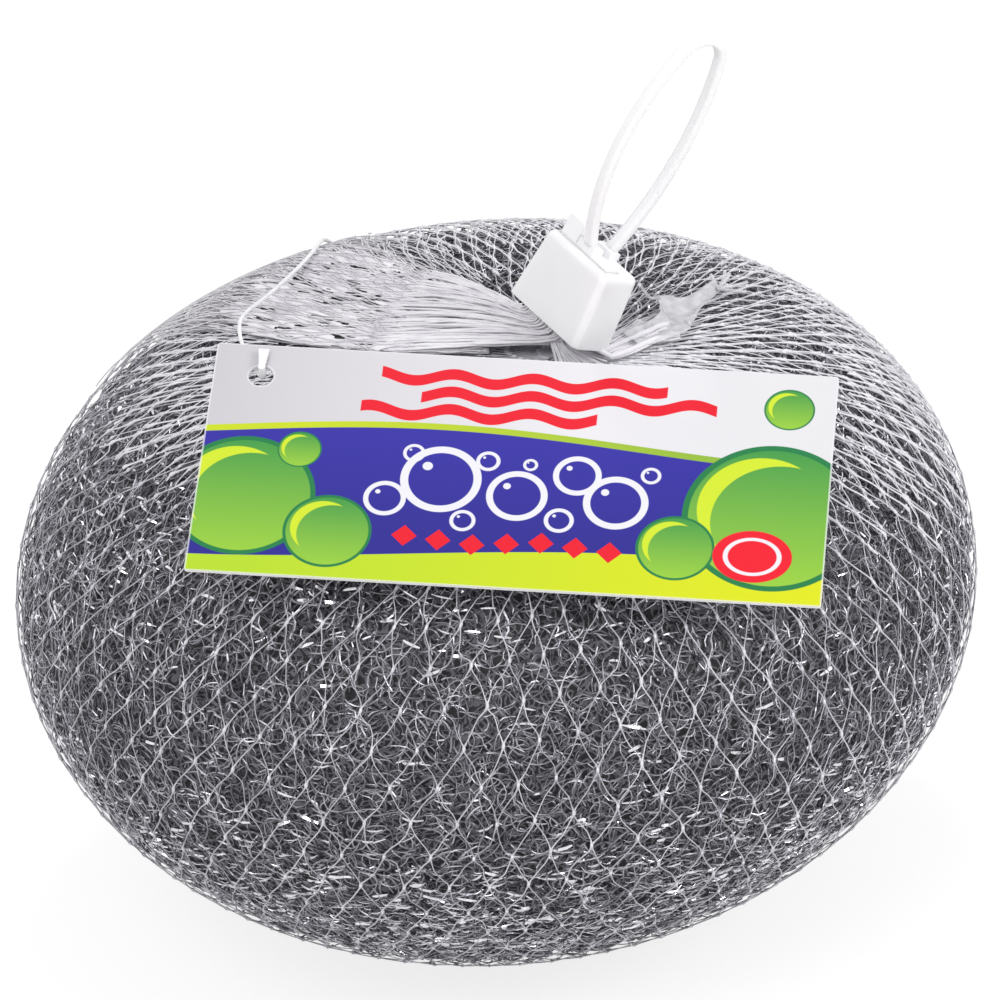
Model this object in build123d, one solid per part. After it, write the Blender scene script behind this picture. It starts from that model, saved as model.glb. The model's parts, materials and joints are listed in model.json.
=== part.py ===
from build123d import *
import math
import os

# A pot scrubber: a bun rolled from knitted wire sleeve, packed in a tight net bag.
# A two-part plastic clip with a hanging loop shuts the net, and a card label is
# held on by a moulded nylon tag. Lengths are in millimetres, +Z is up, and the
# origin is the middle of the flat foot on the table. The front faces -Y.

# Net bag. Its shoulder and belly are quarter ellipses that meet at the waist.
bag_radius = 60.0
bag_height = 78.1
waist_height = 41.9
crest_radius = 19.0
foot_press = 2.0
net_thickness = 0.4

# Cells of the net: long diamonds in staggered rows. Angles are in degrees, 90 at
# the crest, 0 at the waist, less on the belly and more on the way to the top's middle.
net_columns = 18
rows_over_tag = 2
rows_under_tag = 6
cell_step = 19.5
cell_open_share = 0.94
highest_angle = 114.0
lowest_angle = -70.5
top_angle_span = 27.0
tag_cell_width = 6.4

# Wire bun inside the bag, with a dimple at each end of the roll.
wire_clearance = 0.3
dimple_depth = 16.0
dimple_floor_radius = 4.0
base_dimple_radius = 9.0
base_dimple_roof_radius = 5.0
base_dimple_depth = 5.0

# Welded rosette that shuts the lower end of the net sleeve.
base_seal_radius = 4.0
base_seal_height = 2.4
base_seal_rounding = 0.8

# Spare net folded flat over the top and drawn sideways to the clip.
fold_clearance = 0.1
fold_thickness = 1.2
pleat_count = 8
pleat_width = 0.8
pleat_depth = 0.6
pleat_first_turn = 116.0
pleat_turn_step = 10.0
pleat_middle_shares = (0.13, -0.17)
fold_outline_shares = [
    (0.02, -0.21),
    (-0.18, -0.16),
    (-0.38, -0.06),
    (-0.60, 0.17),
    (-0.55, 0.30),
    (-0.40, 0.44),
    (-0.22, 0.47),
    (-0.14, 0.33),
    (-0.13, 0.16),
    (0.02, 0.06),
]

# Clip housing: a tapered sleeve, wide at the mouth that takes the net.
mouth_width = 13.0
housing_top_width = 11.0
housing_height = 9.7
housing_thickness = 6.4
housing_rounding = 0.9
side_wall = 0.9
front_wall = 0.9
back_wall = 1.1
top_ledge_depth = 1.9
top_ledge_height = 1.2
barb_pocket_depth = 0.5
barb_pocket_height = 1.9

# Where the clip lies on the bag, and how it leans. Angles are in degrees.
mouth_from_axis = 17.2
mouth_azimuth = -53.2
mouth_over_crest = 4.25
clip_lean = 30.6
clip_lean_azimuth = 2.0
clip_turn = -53.1
clip_hinge_drop = 0.9

# Plug: a toothed tongue under a cap, with a thumb fin at one end.
plug_clearance = 0.2
cap_thickness = 1.1
cap_proud = 0.35
cap_rounding = 0.25
tongue_length = 6.7
tongue_width = 7.6
tongue_root_thickness = 2.4
tongue_tip_thickness = 0.9
tooth_height = 0.45
tooth_pitch = 1.3
tooth_count = 4
barb_reach = 1.3
barb_height = 1.3
barb_drop = 2.6
fin_width = 2.8
fin_height = 2.8
fin_thickness = 1.0
fin_rounding = 0.45

# Hanging loop: a flat strap from the plug's cap round to the housing's back edge.
loop_front_bulge = 5.5
loop_back_shoulder = 4.0
loop_front_shoulder = 2.9
loop_shoulder_height = 27.9
loop_back_height = 27.4
loop_front_root = 1.3
loop_back_root = 2.4
strap_width = 1.5
strap_thickness = 1.3
strap_rounding = 0.4
strap_sink = 0.5
strap_pad_width = 3.0
strap_pad_height = 0.9
strap_pad_thickness = 1.6

# Gathered net neck that carries the clip, and the bunch shut inside it.
neck_width = 7.8
neck_thickness = 3.6
neck_foot_width = 15.0
neck_foot_thickness = 1.3
neck_offset = 1.3
bunch_width = 7.0
bunch_offset = 1.1
bunch_clearance = 0.35
bunch_top_gap = 1.5

# Tail of the net that comes back out of the mouth, and its welded end.
tail_width = 2.0
tail_thickness = 2.0
tail_setback = 0.95
tail_flat_width = 3.4
tail_flat_thickness = 0.8
tail_side_gap = 0.5
tail_rise = 5.0
tail_drop = 1.95
tail_clearance = 0.15
weld_length = 6.6
weld_width = 4.8
weld_thickness = 1.1
weld_rounding = 0.5
weld_corner_radius = 1.2
weld_from_axis = 26.2
weld_azimuth = -12.0
weld_heading = 53.0

# Card label, in a plane that touches the shoulder of the bag.
card_width = 74.0
card_height = 33.4
card_thickness = 0.4
card_corner_radius = 0.4
card_clearance = 0.35
card_azimuth = -87.4
card_touch_angle = 59.5
card_turn = -11.9
card_shift_across = 1.1
card_shift_up = 2.2
card_hole_radius = 1.5
hole_from_left = 5.7
hole_from_top = 4.6

# Moulded nylon tag: a pin and flap at the card, a filament and a bar in the net.
pin_radius = 0.45
pin_clearance = 0.2
flap_clearance = 0.3
flap_width = 1.3
flap_foot_width = 0.7
flap_length = 2.6
flap_thickness = 0.5
elbow_length = 1.6
elbow_turn = 35.0
filament_diameter = 0.5
bar_length = 9.0
bar_radius = 0.4
bar_depth = 1.2
bar_clearance = 0.3
bar_pocket_radius = 1.9
bar_azimuth = 116.0
bar_touch_angle = 65.0
bar_heading = -42.0
stem_tilt = 62.0
stem_length = 3.4
stem_radius = 0.3

# Route of the free filament between the bar's stem and the elbow at the card.
filament_points = [
    (-17.7, 28.6, 77.4),
    (-18.4, 24.8, 78.3),
    (-20.0, 18.6, 79.0),
    (-22.6, 9.5, 80.5),
    (-25.3, -0.5, 82.6),
    (-27.2, -9.0, 85.0),
    (-28.0, -14.5, 86.0),
    (-27.6, -18.6, 84.5),
]
bend_share = 0.45

# One overrun serves every cut.
cut_overrun = 2.0
quarter_turn = 90.0
shoulder_reach = bag_radius - crest_radius
shoulder_rise = bag_height - waist_height
belly_drop = waist_height + foot_press


def unit_vector(azimuth, tilt):
    """Direction that leans by tilt from +Z towards the azimuth, both in degrees."""
    flat = math.sin(math.radians(tilt))
    return Vector(
        flat * math.cos(math.radians(azimuth)),
        flat * math.sin(math.radians(azimuth)),
        math.cos(math.radians(tilt)),
    )


def shoulder_frame(azimuth, touch_angle):
    """Plane that touches the bag's shoulder, with its x level and its y uphill."""
    cosine = math.cos(math.radians(touch_angle))
    sine = math.sin(math.radians(touch_angle))
    radius = crest_radius + shoulder_reach * cosine
    height = waist_height + shoulder_rise * sine
    tilt = math.degrees(math.atan2(cosine / shoulder_reach, sine / shoulder_rise))
    normal = unit_vector(azimuth, tilt)
    around = unit_vector(azimuth, quarter_turn)
    level = unit_vector(azimuth + quarter_turn, quarter_turn)
    return Plane(around * radius + Vector(0, 0, height), x_dir=level, z_dir=normal)


def turned(plane, angle):
    """The same plane, turned about its own normal."""
    turn = math.radians(angle)
    across = plane.x_dir * math.cos(turn) + plane.y_dir * math.sin(turn)
    return Plane(plane.origin, x_dir=across, z_dir=plane.z_dir)


def bag_point(azimuth, angle):
    """Point on the bag's outside: 90 is the crest, and beyond it the top is flat."""
    beyond = max(angle - quarter_turn, 0) / top_angle_span
    cosine = math.cos(math.radians(min(angle, quarter_turn)))
    sine = math.sin(math.radians(min(angle, quarter_turn)))
    if angle < 0:
        radius = bag_radius * cosine
        height = waist_height + belly_drop * sine
    else:
        radius = crest_radius * (1 - beyond) + shoulder_reach * cosine
        height = waist_height + shoulder_rise * sine
    return unit_vector(azimuth, quarter_turn) * radius + Vector(0, 0, height)


def shifted(plane, across, up, out):
    """The same plane, moved along its own axes."""
    move = plane.x_dir * across + plane.y_dir * up + plane.z_dir * out
    return Plane(plane.origin + move, x_dir=plane.x_dir, z_dir=plane.z_dir)


def placed(solid, plane):
    """A solid drawn about the origin, carried to the plane."""
    return plane.location * solid


def round_body(inset, floor):
    """The bag's round form, drawn in from its outer face and cut flat at floor."""
    top = bag_height - inset
    waist = bag_radius - inset
    drop = belly_drop - inset
    foot_angle = math.degrees(math.asin((waist_height - floor) / drop))
    shoulder = EllipticalCenterArc(
        (crest_radius, waist_height), waist - crest_radius, top - waist_height, 0, arc_size=quarter_turn
    )
    belly = EllipticalCenterArc((0, waist_height), waist, drop, -foot_angle, arc_size=foot_angle)
    outline = [
        shoulder,
        belly,
        Line(shoulder @ 1, (0, top)),
        Line((0, top), (0, floor)),
        Line((0, floor), belly @ 0),
    ]
    return revolve(Plane.XZ * make_face(outline), Axis.Z)


def dimple(centre_radius, floor_radius, opening_height, depth):
    """Round hollow whose lip curls in from centre_radius. A negative depth opens down."""
    floor = opening_height - depth
    start = quarter_turn if depth > 0 else 2 * quarter_turn
    reach = centre_radius - floor_radius
    lip = EllipticalCenterArc((centre_radius, floor), reach, abs(depth), start, arc_size=quarter_turn)
    ends = sorted([lip @ 0, lip @ 1], key=lambda point: point.X)
    outline = [
        lip,
        Line(ends[0], (0, ends[0].Y)),
        Line((0, ends[0].Y), (0, ends[1].Y)),
        Line((0, ends[1].Y), ends[1]),
    ]
    return revolve(Plane.XZ * make_face(outline), Axis.Z)


# Frames that the small pieces share.
clip_up = unit_vector(clip_lean_azimuth, clip_lean)
lean_side = unit_vector(clip_lean_azimuth, clip_lean + quarter_turn)
level_side = unit_vector(clip_lean_azimuth + quarter_turn, quarter_turn)
turn_cosine = math.cos(math.radians(clip_turn))
turn_sine = math.sin(math.radians(clip_turn))
clip_across = lean_side * turn_cosine + level_side * turn_sine
clip_front = clip_across.cross(clip_up)
mouth_middle = unit_vector(mouth_azimuth, quarter_turn) * mouth_from_axis
mouth_middle = mouth_middle + Vector(0, 0, bag_height + mouth_over_crest)
clip_frame = Plane(mouth_middle, x_dir=clip_across, z_dir=clip_front)
hinge_frame = shifted(clip_frame, 0, -clip_hinge_drop, 0)

card_touch = shoulder_frame(card_azimuth, card_touch_angle)
card_back = turned(card_touch, card_turn)
card_back = shifted(card_back, card_shift_across, card_shift_up, card_clearance)
card_middle = shifted(card_back, 0, 0, card_thickness / 2)
hole_across = hole_from_left - card_width / 2
hole_up = card_height / 2 - hole_from_top
pin_offset = card_hole_radius - pin_radius - pin_clearance
pin_frame = shifted(card_middle, hole_across, hole_up + pin_offset, 0)

bar_touch = shoulder_frame(bar_azimuth, bar_touch_angle)
bar_frame = turned(shifted(bar_touch, 0, 0, -bar_depth), bar_heading)


def make_wire_scrubber():
    inset = net_thickness + wire_clearance
    bun = round_body(inset, inset)
    bun -= dimple(crest_radius, dimple_floor_radius, bag_height - inset, dimple_depth)
    bun -= dimple(base_dimple_radius, base_dimple_roof_radius, inset, -base_dimple_depth)
    groove = Cylinder(bar_radius + bar_clearance, bar_length + 2 * bar_clearance)
    groove = Plane(bar_frame.origin, z_dir=bar_frame.x_dir).location * groove
    pocket = placed(Sphere(bar_pocket_radius), bar_frame)
    return bun - groove - pocket


def net_cell(azimuth, angle):
    """Long diamond through the net, with its four corners over the bag's outside."""
    half_turn = 2 * quarter_turn / net_columns * cell_open_share
    rise = min(cell_step, highest_angle - angle) * cell_open_share
    fall = min(cell_step, angle - lowest_angle) * cell_open_share
    corners = [
        bag_point(azimuth - half_turn, angle),
        bag_point(azimuth, angle - fall),
        bag_point(azimuth + half_turn, angle),
        bag_point(azimuth, angle + rise),
    ]
    level = unit_vector(azimuth + quarter_turn, quarter_turn)
    uphill = (corners[3] - corners[1]).normalized()
    plane = Plane(bag_point(azimuth, angle), x_dir=level, z_dir=level.cross(uphill))
    flat = [plane.to_local_coords(corner) for corner in corners]
    outline = make_face(Polyline([(corner.X, corner.Y) for corner in flat], close=True))
    return placed(extrude(outline, cut_overrun, both=True), plane)


def make_net_bag():
    bag = round_body(0, 0) - round_body(net_thickness, net_thickness)
    turn = 4 * quarter_turn / net_columns
    cells = [placed(Cylinder(tag_cell_width / 2, 2 * cut_overrun), bar_touch)]
    for row in range(-rows_under_tag, rows_over_tag + 1):
        stagger = row % 2 / 2
        for column in range(net_columns):
            if row == 0 and column == 0:
                continue
            azimuth = bar_azimuth + (column + stagger) * turn
            cells.append(net_cell(azimuth, bar_touch_angle + row * cell_step))
    return bag - cells


def make_base_seal():
    seal = Cylinder(base_seal_radius, base_seal_height, align=(Align.CENTER, Align.CENTER, Align.MIN))
    top_edges = seal.edges().group_by(Axis.Z)[-1]
    seal = fillet(top_edges, base_seal_rounding)
    return Pos(0, 0, net_thickness) * seal


def make_net_folds():
    corners = [(bag_radius * across, bag_radius * along) for across, along in fold_outline_shares]
    column = extrude(Plane.XY.offset(waist_height) * make_face(Polyline(corners, close=True)), bag_height)
    outer = round_body(-fold_clearance - fold_thickness, 0)
    inner = round_body(-fold_clearance, 0)
    folds = column & (outer - inner)
    above = outer - round_body(pleat_depth - fold_clearance - fold_thickness, 0)
    slit = Box(bag_radius, pleat_width, 2 * bag_height, align=(Align.MIN, Align.CENTER, Align.CENTER))
    middle = [bag_radius * share for share in pleat_middle_shares]
    for pleat in range(pleat_count):
        heading = pleat_first_turn + pleat * pleat_turn_step
        folds -= above & (Pos(middle[0], middle[1], bag_height) * Rot(0, 0, heading) * slit)
    return folds


def housing_half_width(height):
    """Half the housing's outer width at a height over the mouth."""
    taper = (mouth_width - housing_top_width) / 2
    return mouth_width / 2 - taper * height / housing_height


def tapered_block(low, high, inset, back, front):
    """Slab of the housing's taper between two heights and two depths."""
    low_half = housing_half_width(low) - inset
    high_half = housing_half_width(high) - inset
    corners = [(-low_half, low), (low_half, low), (high_half, high), (-high_half, high)]
    outline = make_face(Polyline(corners, close=True))
    return extrude(Plane.XY.offset(back) * outline, front - back)


def make_clip_housing():
    back = -housing_thickness / 2
    front = housing_thickness / 2
    shell = tapered_block(0, housing_height, 0, back, front)
    mouth_edges = shell.edges().group_by(Axis.Y)[0]
    outer_edges = [edge for edge in shell.edges() if edge not in mouth_edges]
    shell = fillet(outer_edges, housing_rounding)
    ledge_underside = housing_height - top_ledge_height
    shell -= tapered_block(-cut_overrun, ledge_underside, side_wall, back + back_wall, front - front_wall)
    shell -= tapered_block(
        ledge_underside - cut_overrun,
        housing_height + cut_overrun,
        side_wall,
        back + back_wall + top_ledge_depth,
        front - front_wall,
    )
    pocket_middle = housing_height - barb_drop
    pocket_half = housing_half_width(pocket_middle) - side_wall + barb_pocket_depth
    pocket_depth = tongue_tip_thickness + 2 * plug_clearance
    pocket = Box(2 * pocket_half, barb_pocket_height, pocket_depth)
    shell -= Pos(0, pocket_middle, front - front_wall - pocket_depth / 2) * pocket
    pad = Box(strap_pad_width, strap_pad_height + strap_sink, strap_pad_thickness)
    pad_up = housing_height + (strap_pad_height - strap_sink) / 2
    shell += Pos(0, pad_up, back + housing_rounding / 2 + strap_pad_thickness / 2) * pad
    return placed(shell, clip_frame)


def tongue_face(height):
    """Depth of the tongue's back face at a height over the mouth."""
    front = housing_thickness / 2 - front_wall - plug_clearance
    share = (housing_height - height) / tongue_length
    thickness = tongue_root_thickness + (tongue_tip_thickness - tongue_root_thickness) * share
    return front - thickness


def make_clip_plug():
    front = housing_thickness / 2 - front_wall - plug_clearance
    cap_back = -housing_thickness / 2 + back_wall + top_ledge_depth + plug_clearance
    cap_low = housing_height - cap_thickness
    cap_high = housing_height + cap_proud
    cap = tapered_block(cap_low, cap_high, side_wall + plug_clearance, cap_back, front)
    cap = fillet(cap.edges().group_by(Axis.Y)[-1], cap_rounding)

    tip = housing_height - tongue_length
    profile = [(front, tip), (front, cap_low), (tongue_face(cap_low), cap_low)]
    for index in range(tooth_count):
        crown = cap_low - index * tooth_pitch
        root = crown - tooth_pitch
        profile.append((tongue_face(crown), crown))
        profile.append((tongue_face(root) - tooth_height, root))
        profile.append((tongue_face(root), root))
    profile.append((tongue_face(tip), tip))
    cleaned = [profile[0]]
    for point in profile[1:]:
        if math.dist(point, cleaned[-1]) > 0:
            cleaned.append(point)
    side = Plane((0, 0, 0), x_dir=(0, 0, 1), z_dir=(-1, 0, 0))
    tongue = extrude(side * make_face(Polyline(cleaned, close=True)), tongue_width / 2, both=True)

    barb_top = housing_height - barb_drop + barb_height / 2
    half = tongue_width / 2
    wedge = [
        (-half, barb_top),
        (-half - barb_reach, barb_top),
        (-half, barb_top - barb_height),
        (half, barb_top - barb_height),
        (half + barb_reach, barb_top),
        (half, barb_top),
    ]
    barbs = extrude(Plane.XY.offset(front) * make_face(Polyline(wedge, close=True)), -tongue_tip_thickness)

    fin = Box(fin_width, fin_height + cap_thickness, fin_thickness)
    fin = fillet(fin.edges().filter_by(Axis.Z).group_by(Axis.Y)[-1], fin_rounding)
    fin_across = fin_width / 2 + side_wall + plug_clearance - housing_half_width(housing_height)
    fin_up = housing_height + (fin_height - cap_thickness) / 2
    fin_depth = front - fin_thickness / 2
    pad = Box(strap_pad_width, strap_pad_height + cap_thickness, strap_pad_thickness)
    pad_up = cap_high + (strap_pad_height - cap_thickness) / 2
    plug = cap + tongue + barbs + Pos(fin_across, fin_up, fin_depth) * fin
    plug += Pos(0, pad_up, loop_front_root) * pad
    return placed(plug, clip_frame)


def make_hanging_loop(housing, plug):
    side = Plane((0, housing_height, 0), x_dir=(0, 0, 1), z_dir=(-1, 0, 0))
    front_root = (loop_front_root, strap_pad_height)
    front_shoulder = (loop_front_shoulder, loop_shoulder_height)
    back_shoulder = (-loop_back_shoulder, loop_back_height)
    back_root = (-loop_back_root, strap_pad_height - strap_sink)
    front_strand = ThreePointArc(front_root, (loop_front_bulge, loop_shoulder_height / 2), front_shoulder)
    crown = TangentArc(front_shoulder, back_shoulder, tangent=front_strand % 1)
    back_strand = TangentArc(back_shoulder, back_root, tangent=crown % 1)
    path = side * Wire([front_strand, crown, back_strand])
    section = Plane(path @ 0, x_dir=(1, 0, 0), z_dir=path % 0)
    strap = sweep(section * RectangleRounded(strap_width, strap_thickness, strap_rounding), path)
    strap = placed(strap, clip_frame)
    return strap - housing - plug


def make_net_neck():
    foot_height = bag_height + neck_foot_thickness / 2
    along_share = (fold_outline_shares[0][1] + fold_outline_shares[-1][1]) / 2
    foot_middle = (bag_radius * fold_outline_shares[0][0], bag_radius * along_share, foot_height)
    foot = Plane(foot_middle, x_dir=(0, -1, 0), z_dir=(1, 0, 0))
    head = shifted(hinge_frame, -neck_offset, 0, 0)
    head_plane = Plane(head.origin, x_dir=head.x_dir, z_dir=head.y_dir)
    sections = [
        foot * Rectangle(neck_foot_width, neck_foot_thickness),
        head_plane * Rectangle(neck_width, neck_thickness),
    ]
    neck = loft(sections, ruled=True)
    roll = Cylinder(neck_thickness / 2, neck_width)
    roll = Plane(head.origin, z_dir=head.x_dir).location * roll
    return neck + roll


def make_net_bunch():
    low = neck_thickness / 2 - clip_hinge_drop + bunch_clearance
    high = housing_height - bunch_top_gap
    back = -housing_thickness / 2 + back_wall + tail_clearance
    tip = housing_height - tongue_length
    front_low = tongue_face(tip) - tooth_height - tail_clearance
    front_high = tongue_face(high) - tooth_height - tail_clearance
    outline = [(back, low), (front_low, low), (front_low, tip), (front_high, high), (back, high)]
    side = Plane((0, 0, 0), x_dir=(0, 0, 1), z_dir=(-1, 0, 0))
    bunch = extrude(side * make_face(Polyline(outline, close=True)), bunch_width / 2, both=True)
    return placed(Pos(-bunch_offset, 0, 0) * bunch, clip_frame)


def weld_frame():
    """Level frame on the bag's top where the welded end lies."""
    middle = unit_vector(weld_azimuth, quarter_turn) * weld_from_axis
    reach = (weld_from_axis - crest_radius) / shoulder_reach
    surface = waist_height + shoulder_rise * math.sqrt(1 - reach * reach)
    lift = Vector(0, 0, surface + weld_thickness)
    heading = unit_vector(weld_heading, quarter_turn)
    return Plane(middle + lift, x_dir=heading, z_dir=(0, 0, 1))


def make_net_tail():
    across = neck_width / 2 - neck_offset + tail_side_gap + tail_width / 2
    inner = shifted(clip_frame, across, tail_rise, -tail_setback)
    foot = shifted(clip_frame, across, -tail_drop, -tail_setback)
    weld = weld_frame()
    start_middle = Vector(foot.origin.X, foot.origin.Y, bag_height + tail_flat_thickness)
    end_middle = weld.origin - weld.x_dir * weld_length / 2
    run = (end_middle - start_middle).normalized()
    thick = Rectangle(tail_width, tail_thickness)
    inner_section = Plane(inner.origin, x_dir=inner.x_dir, z_dir=-inner.y_dir) * thick
    foot_section = Plane(foot.origin, x_dir=foot.x_dir, z_dir=-foot.y_dir) * thick
    start_plane = Plane(start_middle, x_dir=run.cross(Vector(0, 0, 1)), z_dir=run)
    end_plane = Plane(end_middle, x_dir=-weld.y_dir, z_dir=weld.x_dir)
    start_section = start_plane * Rectangle(tail_width, tail_flat_thickness)
    end_section = end_plane * Rectangle(tail_flat_width, tail_flat_thickness)
    upper = loft([inner_section, foot_section], ruled=True)
    return upper + loft([start_section, end_section], ruled=True)


def make_weld():
    plate = RectangleRounded(weld_length, weld_width, weld_corner_radius)
    weld = extrude(plate, weld_thickness / 2, both=True)
    weld = fillet(weld.edges().group_by(Axis.Z)[-1], weld_rounding)
    return placed(weld, weld_frame())


def make_label_card():
    card = Box(card_width, card_height, card_thickness)
    card = fillet(card.edges().filter_by(Axis.Z), card_corner_radius)
    card -= Pos(hole_across, hole_up, 0) * Cylinder(card_hole_radius, card_thickness + cut_overrun)
    return placed(card, card_middle)


def elbow_plane():
    """Middle of the elbow behind the card, with its x towards the filament."""
    behind = card_thickness / 2 + flap_clearance + pin_radius
    level = shifted(pin_frame, 0, 0, -behind)
    return turned(level, quarter_turn + elbow_turn)


def make_tag_head():
    front = card_thickness / 2 + flap_clearance
    elbow = elbow_plane()
    behind = card_thickness / 2 + flap_clearance + pin_radius
    length = front + flap_thickness / 2 + behind
    pin = Pos(0, 0, front + flap_thickness / 2 - length / 2) * Cylinder(pin_radius, length)
    foot_half = flap_foot_width / 2
    head_half = flap_width / 2
    corners = [(-foot_half, 0), (foot_half, 0), (head_half, flap_length), (-head_half, flap_length)]
    flap = extrude(Plane.XY.offset(front) * make_face(Polyline(corners, close=True)), flap_thickness)
    root = Pos(0, 0, front + flap_thickness / 2) * Cylinder(pin_radius, flap_thickness)
    head = placed(pin + flap + root, pin_frame)
    arm = Cylinder(pin_radius, elbow_length, align=(Align.CENTER, Align.CENTER, Align.MIN))
    head += Plane(elbow.origin, z_dir=elbow.x_dir).location * arm
    head += placed(Sphere(pin_radius), elbow)
    return head


def stem_direction():
    """The way the filament leaves the bar: tilted from the net's normal."""
    lean = math.radians(stem_tilt)
    return bar_frame.z_dir * math.cos(lean) + bar_frame.y_dir * math.sin(lean)


def make_tag_bar():
    bar = Plane(bar_frame.origin, z_dir=bar_frame.x_dir).location * Cylinder(bar_radius, bar_length)
    stem = Cylinder(stem_radius, stem_length, align=(Align.CENTER, Align.CENTER, Align.MIN))
    return bar + Plane(bar_frame.origin, z_dir=stem_direction()).location * stem


def filament_route():
    """Every corner of the filament, from the bar's stem to the elbow at the card."""
    start = bar_frame.origin + stem_direction() * stem_length
    elbow = elbow_plane()
    end = elbow.origin + elbow.x_dir * elbow_length
    return [start] + [Vector(*point) for point in filament_points] + [end]


def make_tag_filament():
    route = filament_route()
    radii = []
    for before, corner, after in zip(route, route[1:], route[2:]):
        turn = math.radians((corner - before).get_angle(after - corner))
        shorter = min((corner - before).length, (after - corner).length)
        radii.append(bend_share * shorter / math.tan(turn / 2))
    print("filament bend radii", [round(radius, 1) for radius in radii])
    path = FilletPolyline(*route, radius=radii)
    section = Plane(path @ 0, z_dir=path % 0) * Circle(filament_diameter / 2)
    tube = sweep(section, path)
    length = path.length
    print("filament length", round(length, 2), "volume ratio", round(tube.volume / section.area / length, 4))
    return tube


clip_housing = make_clip_housing()
clip_plug = make_clip_plug()
pieces = {
    "wire_scrubber": make_wire_scrubber(),
    "net_bag": make_net_bag(),
    "net_base_seal": make_base_seal(),
    "net_folds": make_net_folds(),
    "net_neck": make_net_neck(),
    "clip_housing": clip_housing,
    "clip_plug": clip_plug,
    "hanging_loop": make_hanging_loop(clip_housing, clip_plug),
    "net_bunch": make_net_bunch(),
    "net_tail": make_net_tail(),
    "net_end_weld": make_weld(),
    "label_card": make_label_card(),
    "tag_head": make_tag_head(),
    "tag_filament": make_tag_filament(),
    "tag_bar": make_tag_bar(),
}

os.makedirs("parts", exist_ok=True)
for name, piece in pieces.items():
    export_step(piece, os.path.join("parts", name + ".step"))
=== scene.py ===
import json
import math

import bmesh
import bpy
import numpy as np
from mathutils import Matrix, Vector, noise
from mathutils.bvhtree import BVHTree

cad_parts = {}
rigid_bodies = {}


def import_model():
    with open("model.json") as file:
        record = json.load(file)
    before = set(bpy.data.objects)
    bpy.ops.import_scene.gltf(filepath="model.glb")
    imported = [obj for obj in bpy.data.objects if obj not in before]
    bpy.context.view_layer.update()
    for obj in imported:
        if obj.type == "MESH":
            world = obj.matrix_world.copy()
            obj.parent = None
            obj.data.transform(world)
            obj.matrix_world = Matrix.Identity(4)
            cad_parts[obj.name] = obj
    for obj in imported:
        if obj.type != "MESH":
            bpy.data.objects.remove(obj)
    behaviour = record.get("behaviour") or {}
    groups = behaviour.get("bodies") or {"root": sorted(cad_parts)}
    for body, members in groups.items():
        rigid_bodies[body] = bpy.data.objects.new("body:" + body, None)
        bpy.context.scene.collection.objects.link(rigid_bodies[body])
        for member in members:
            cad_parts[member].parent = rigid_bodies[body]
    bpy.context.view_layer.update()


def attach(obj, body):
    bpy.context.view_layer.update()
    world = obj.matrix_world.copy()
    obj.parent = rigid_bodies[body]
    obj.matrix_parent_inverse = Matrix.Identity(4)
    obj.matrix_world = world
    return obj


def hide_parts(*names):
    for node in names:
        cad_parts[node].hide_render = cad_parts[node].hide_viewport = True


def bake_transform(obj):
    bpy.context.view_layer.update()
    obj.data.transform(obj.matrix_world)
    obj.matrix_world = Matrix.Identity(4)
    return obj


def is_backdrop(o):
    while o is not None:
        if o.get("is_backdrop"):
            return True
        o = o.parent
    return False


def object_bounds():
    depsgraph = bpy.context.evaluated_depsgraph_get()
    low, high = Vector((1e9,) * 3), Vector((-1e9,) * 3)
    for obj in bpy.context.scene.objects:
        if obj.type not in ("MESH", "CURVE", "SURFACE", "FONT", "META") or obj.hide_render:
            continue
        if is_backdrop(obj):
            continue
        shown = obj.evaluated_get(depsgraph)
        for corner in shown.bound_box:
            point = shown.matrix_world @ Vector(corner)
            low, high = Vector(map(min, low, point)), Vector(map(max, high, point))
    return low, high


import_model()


# ---- Camera ----
# The photograph is taken from in front and 27 degrees up, with a long lens and
# the camera leaning a little, so that the scrubber's right side sits higher.
view_distance = 0.8
view_target = Vector((0, 0, 0.03805))
view_height = math.radians(27)
view_lean = math.radians(-5.16)
sensor_width, focal_share = 36, 6.4015
aim_across, aim_up = 0.00176, 0.10422
nearest, farthest = 0.05, 10


def add_object(name, data):
    """New object in the scene."""
    made = bpy.data.objects.new(name, data)
    bpy.context.scene.collection.objects.link(made)
    return made


back = Vector((0, -math.cos(view_height), math.sin(view_height)))
level = Vector((1, 0, 0))
upright = back.cross(level)
leaning_right = level * math.cos(view_lean) + upright * math.sin(view_lean)
leaning_up = upright * math.cos(view_lean) - level * math.sin(view_lean)
sight = -back + (leaning_right * aim_across + leaning_up * aim_up) / focal_share
sight.normalize()
camera_right = (leaning_right - sight * leaning_right.dot(sight)).normalized()
camera_up = camera_right.cross(sight)
camera_data = bpy.data.cameras.new("camera")
camera_data.sensor_width = sensor_width
camera_data.lens = sensor_width * focal_share
camera_data.clip_start, camera_data.clip_end = nearest, farthest
camera = add_object("camera", camera_data)
camera_place = Matrix((camera_right, camera_up, -sight)).transposed().to_4x4()
camera_place.translation = view_target + back * view_distance
camera.matrix_world = camera_place
bpy.context.scene.camera = camera


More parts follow.
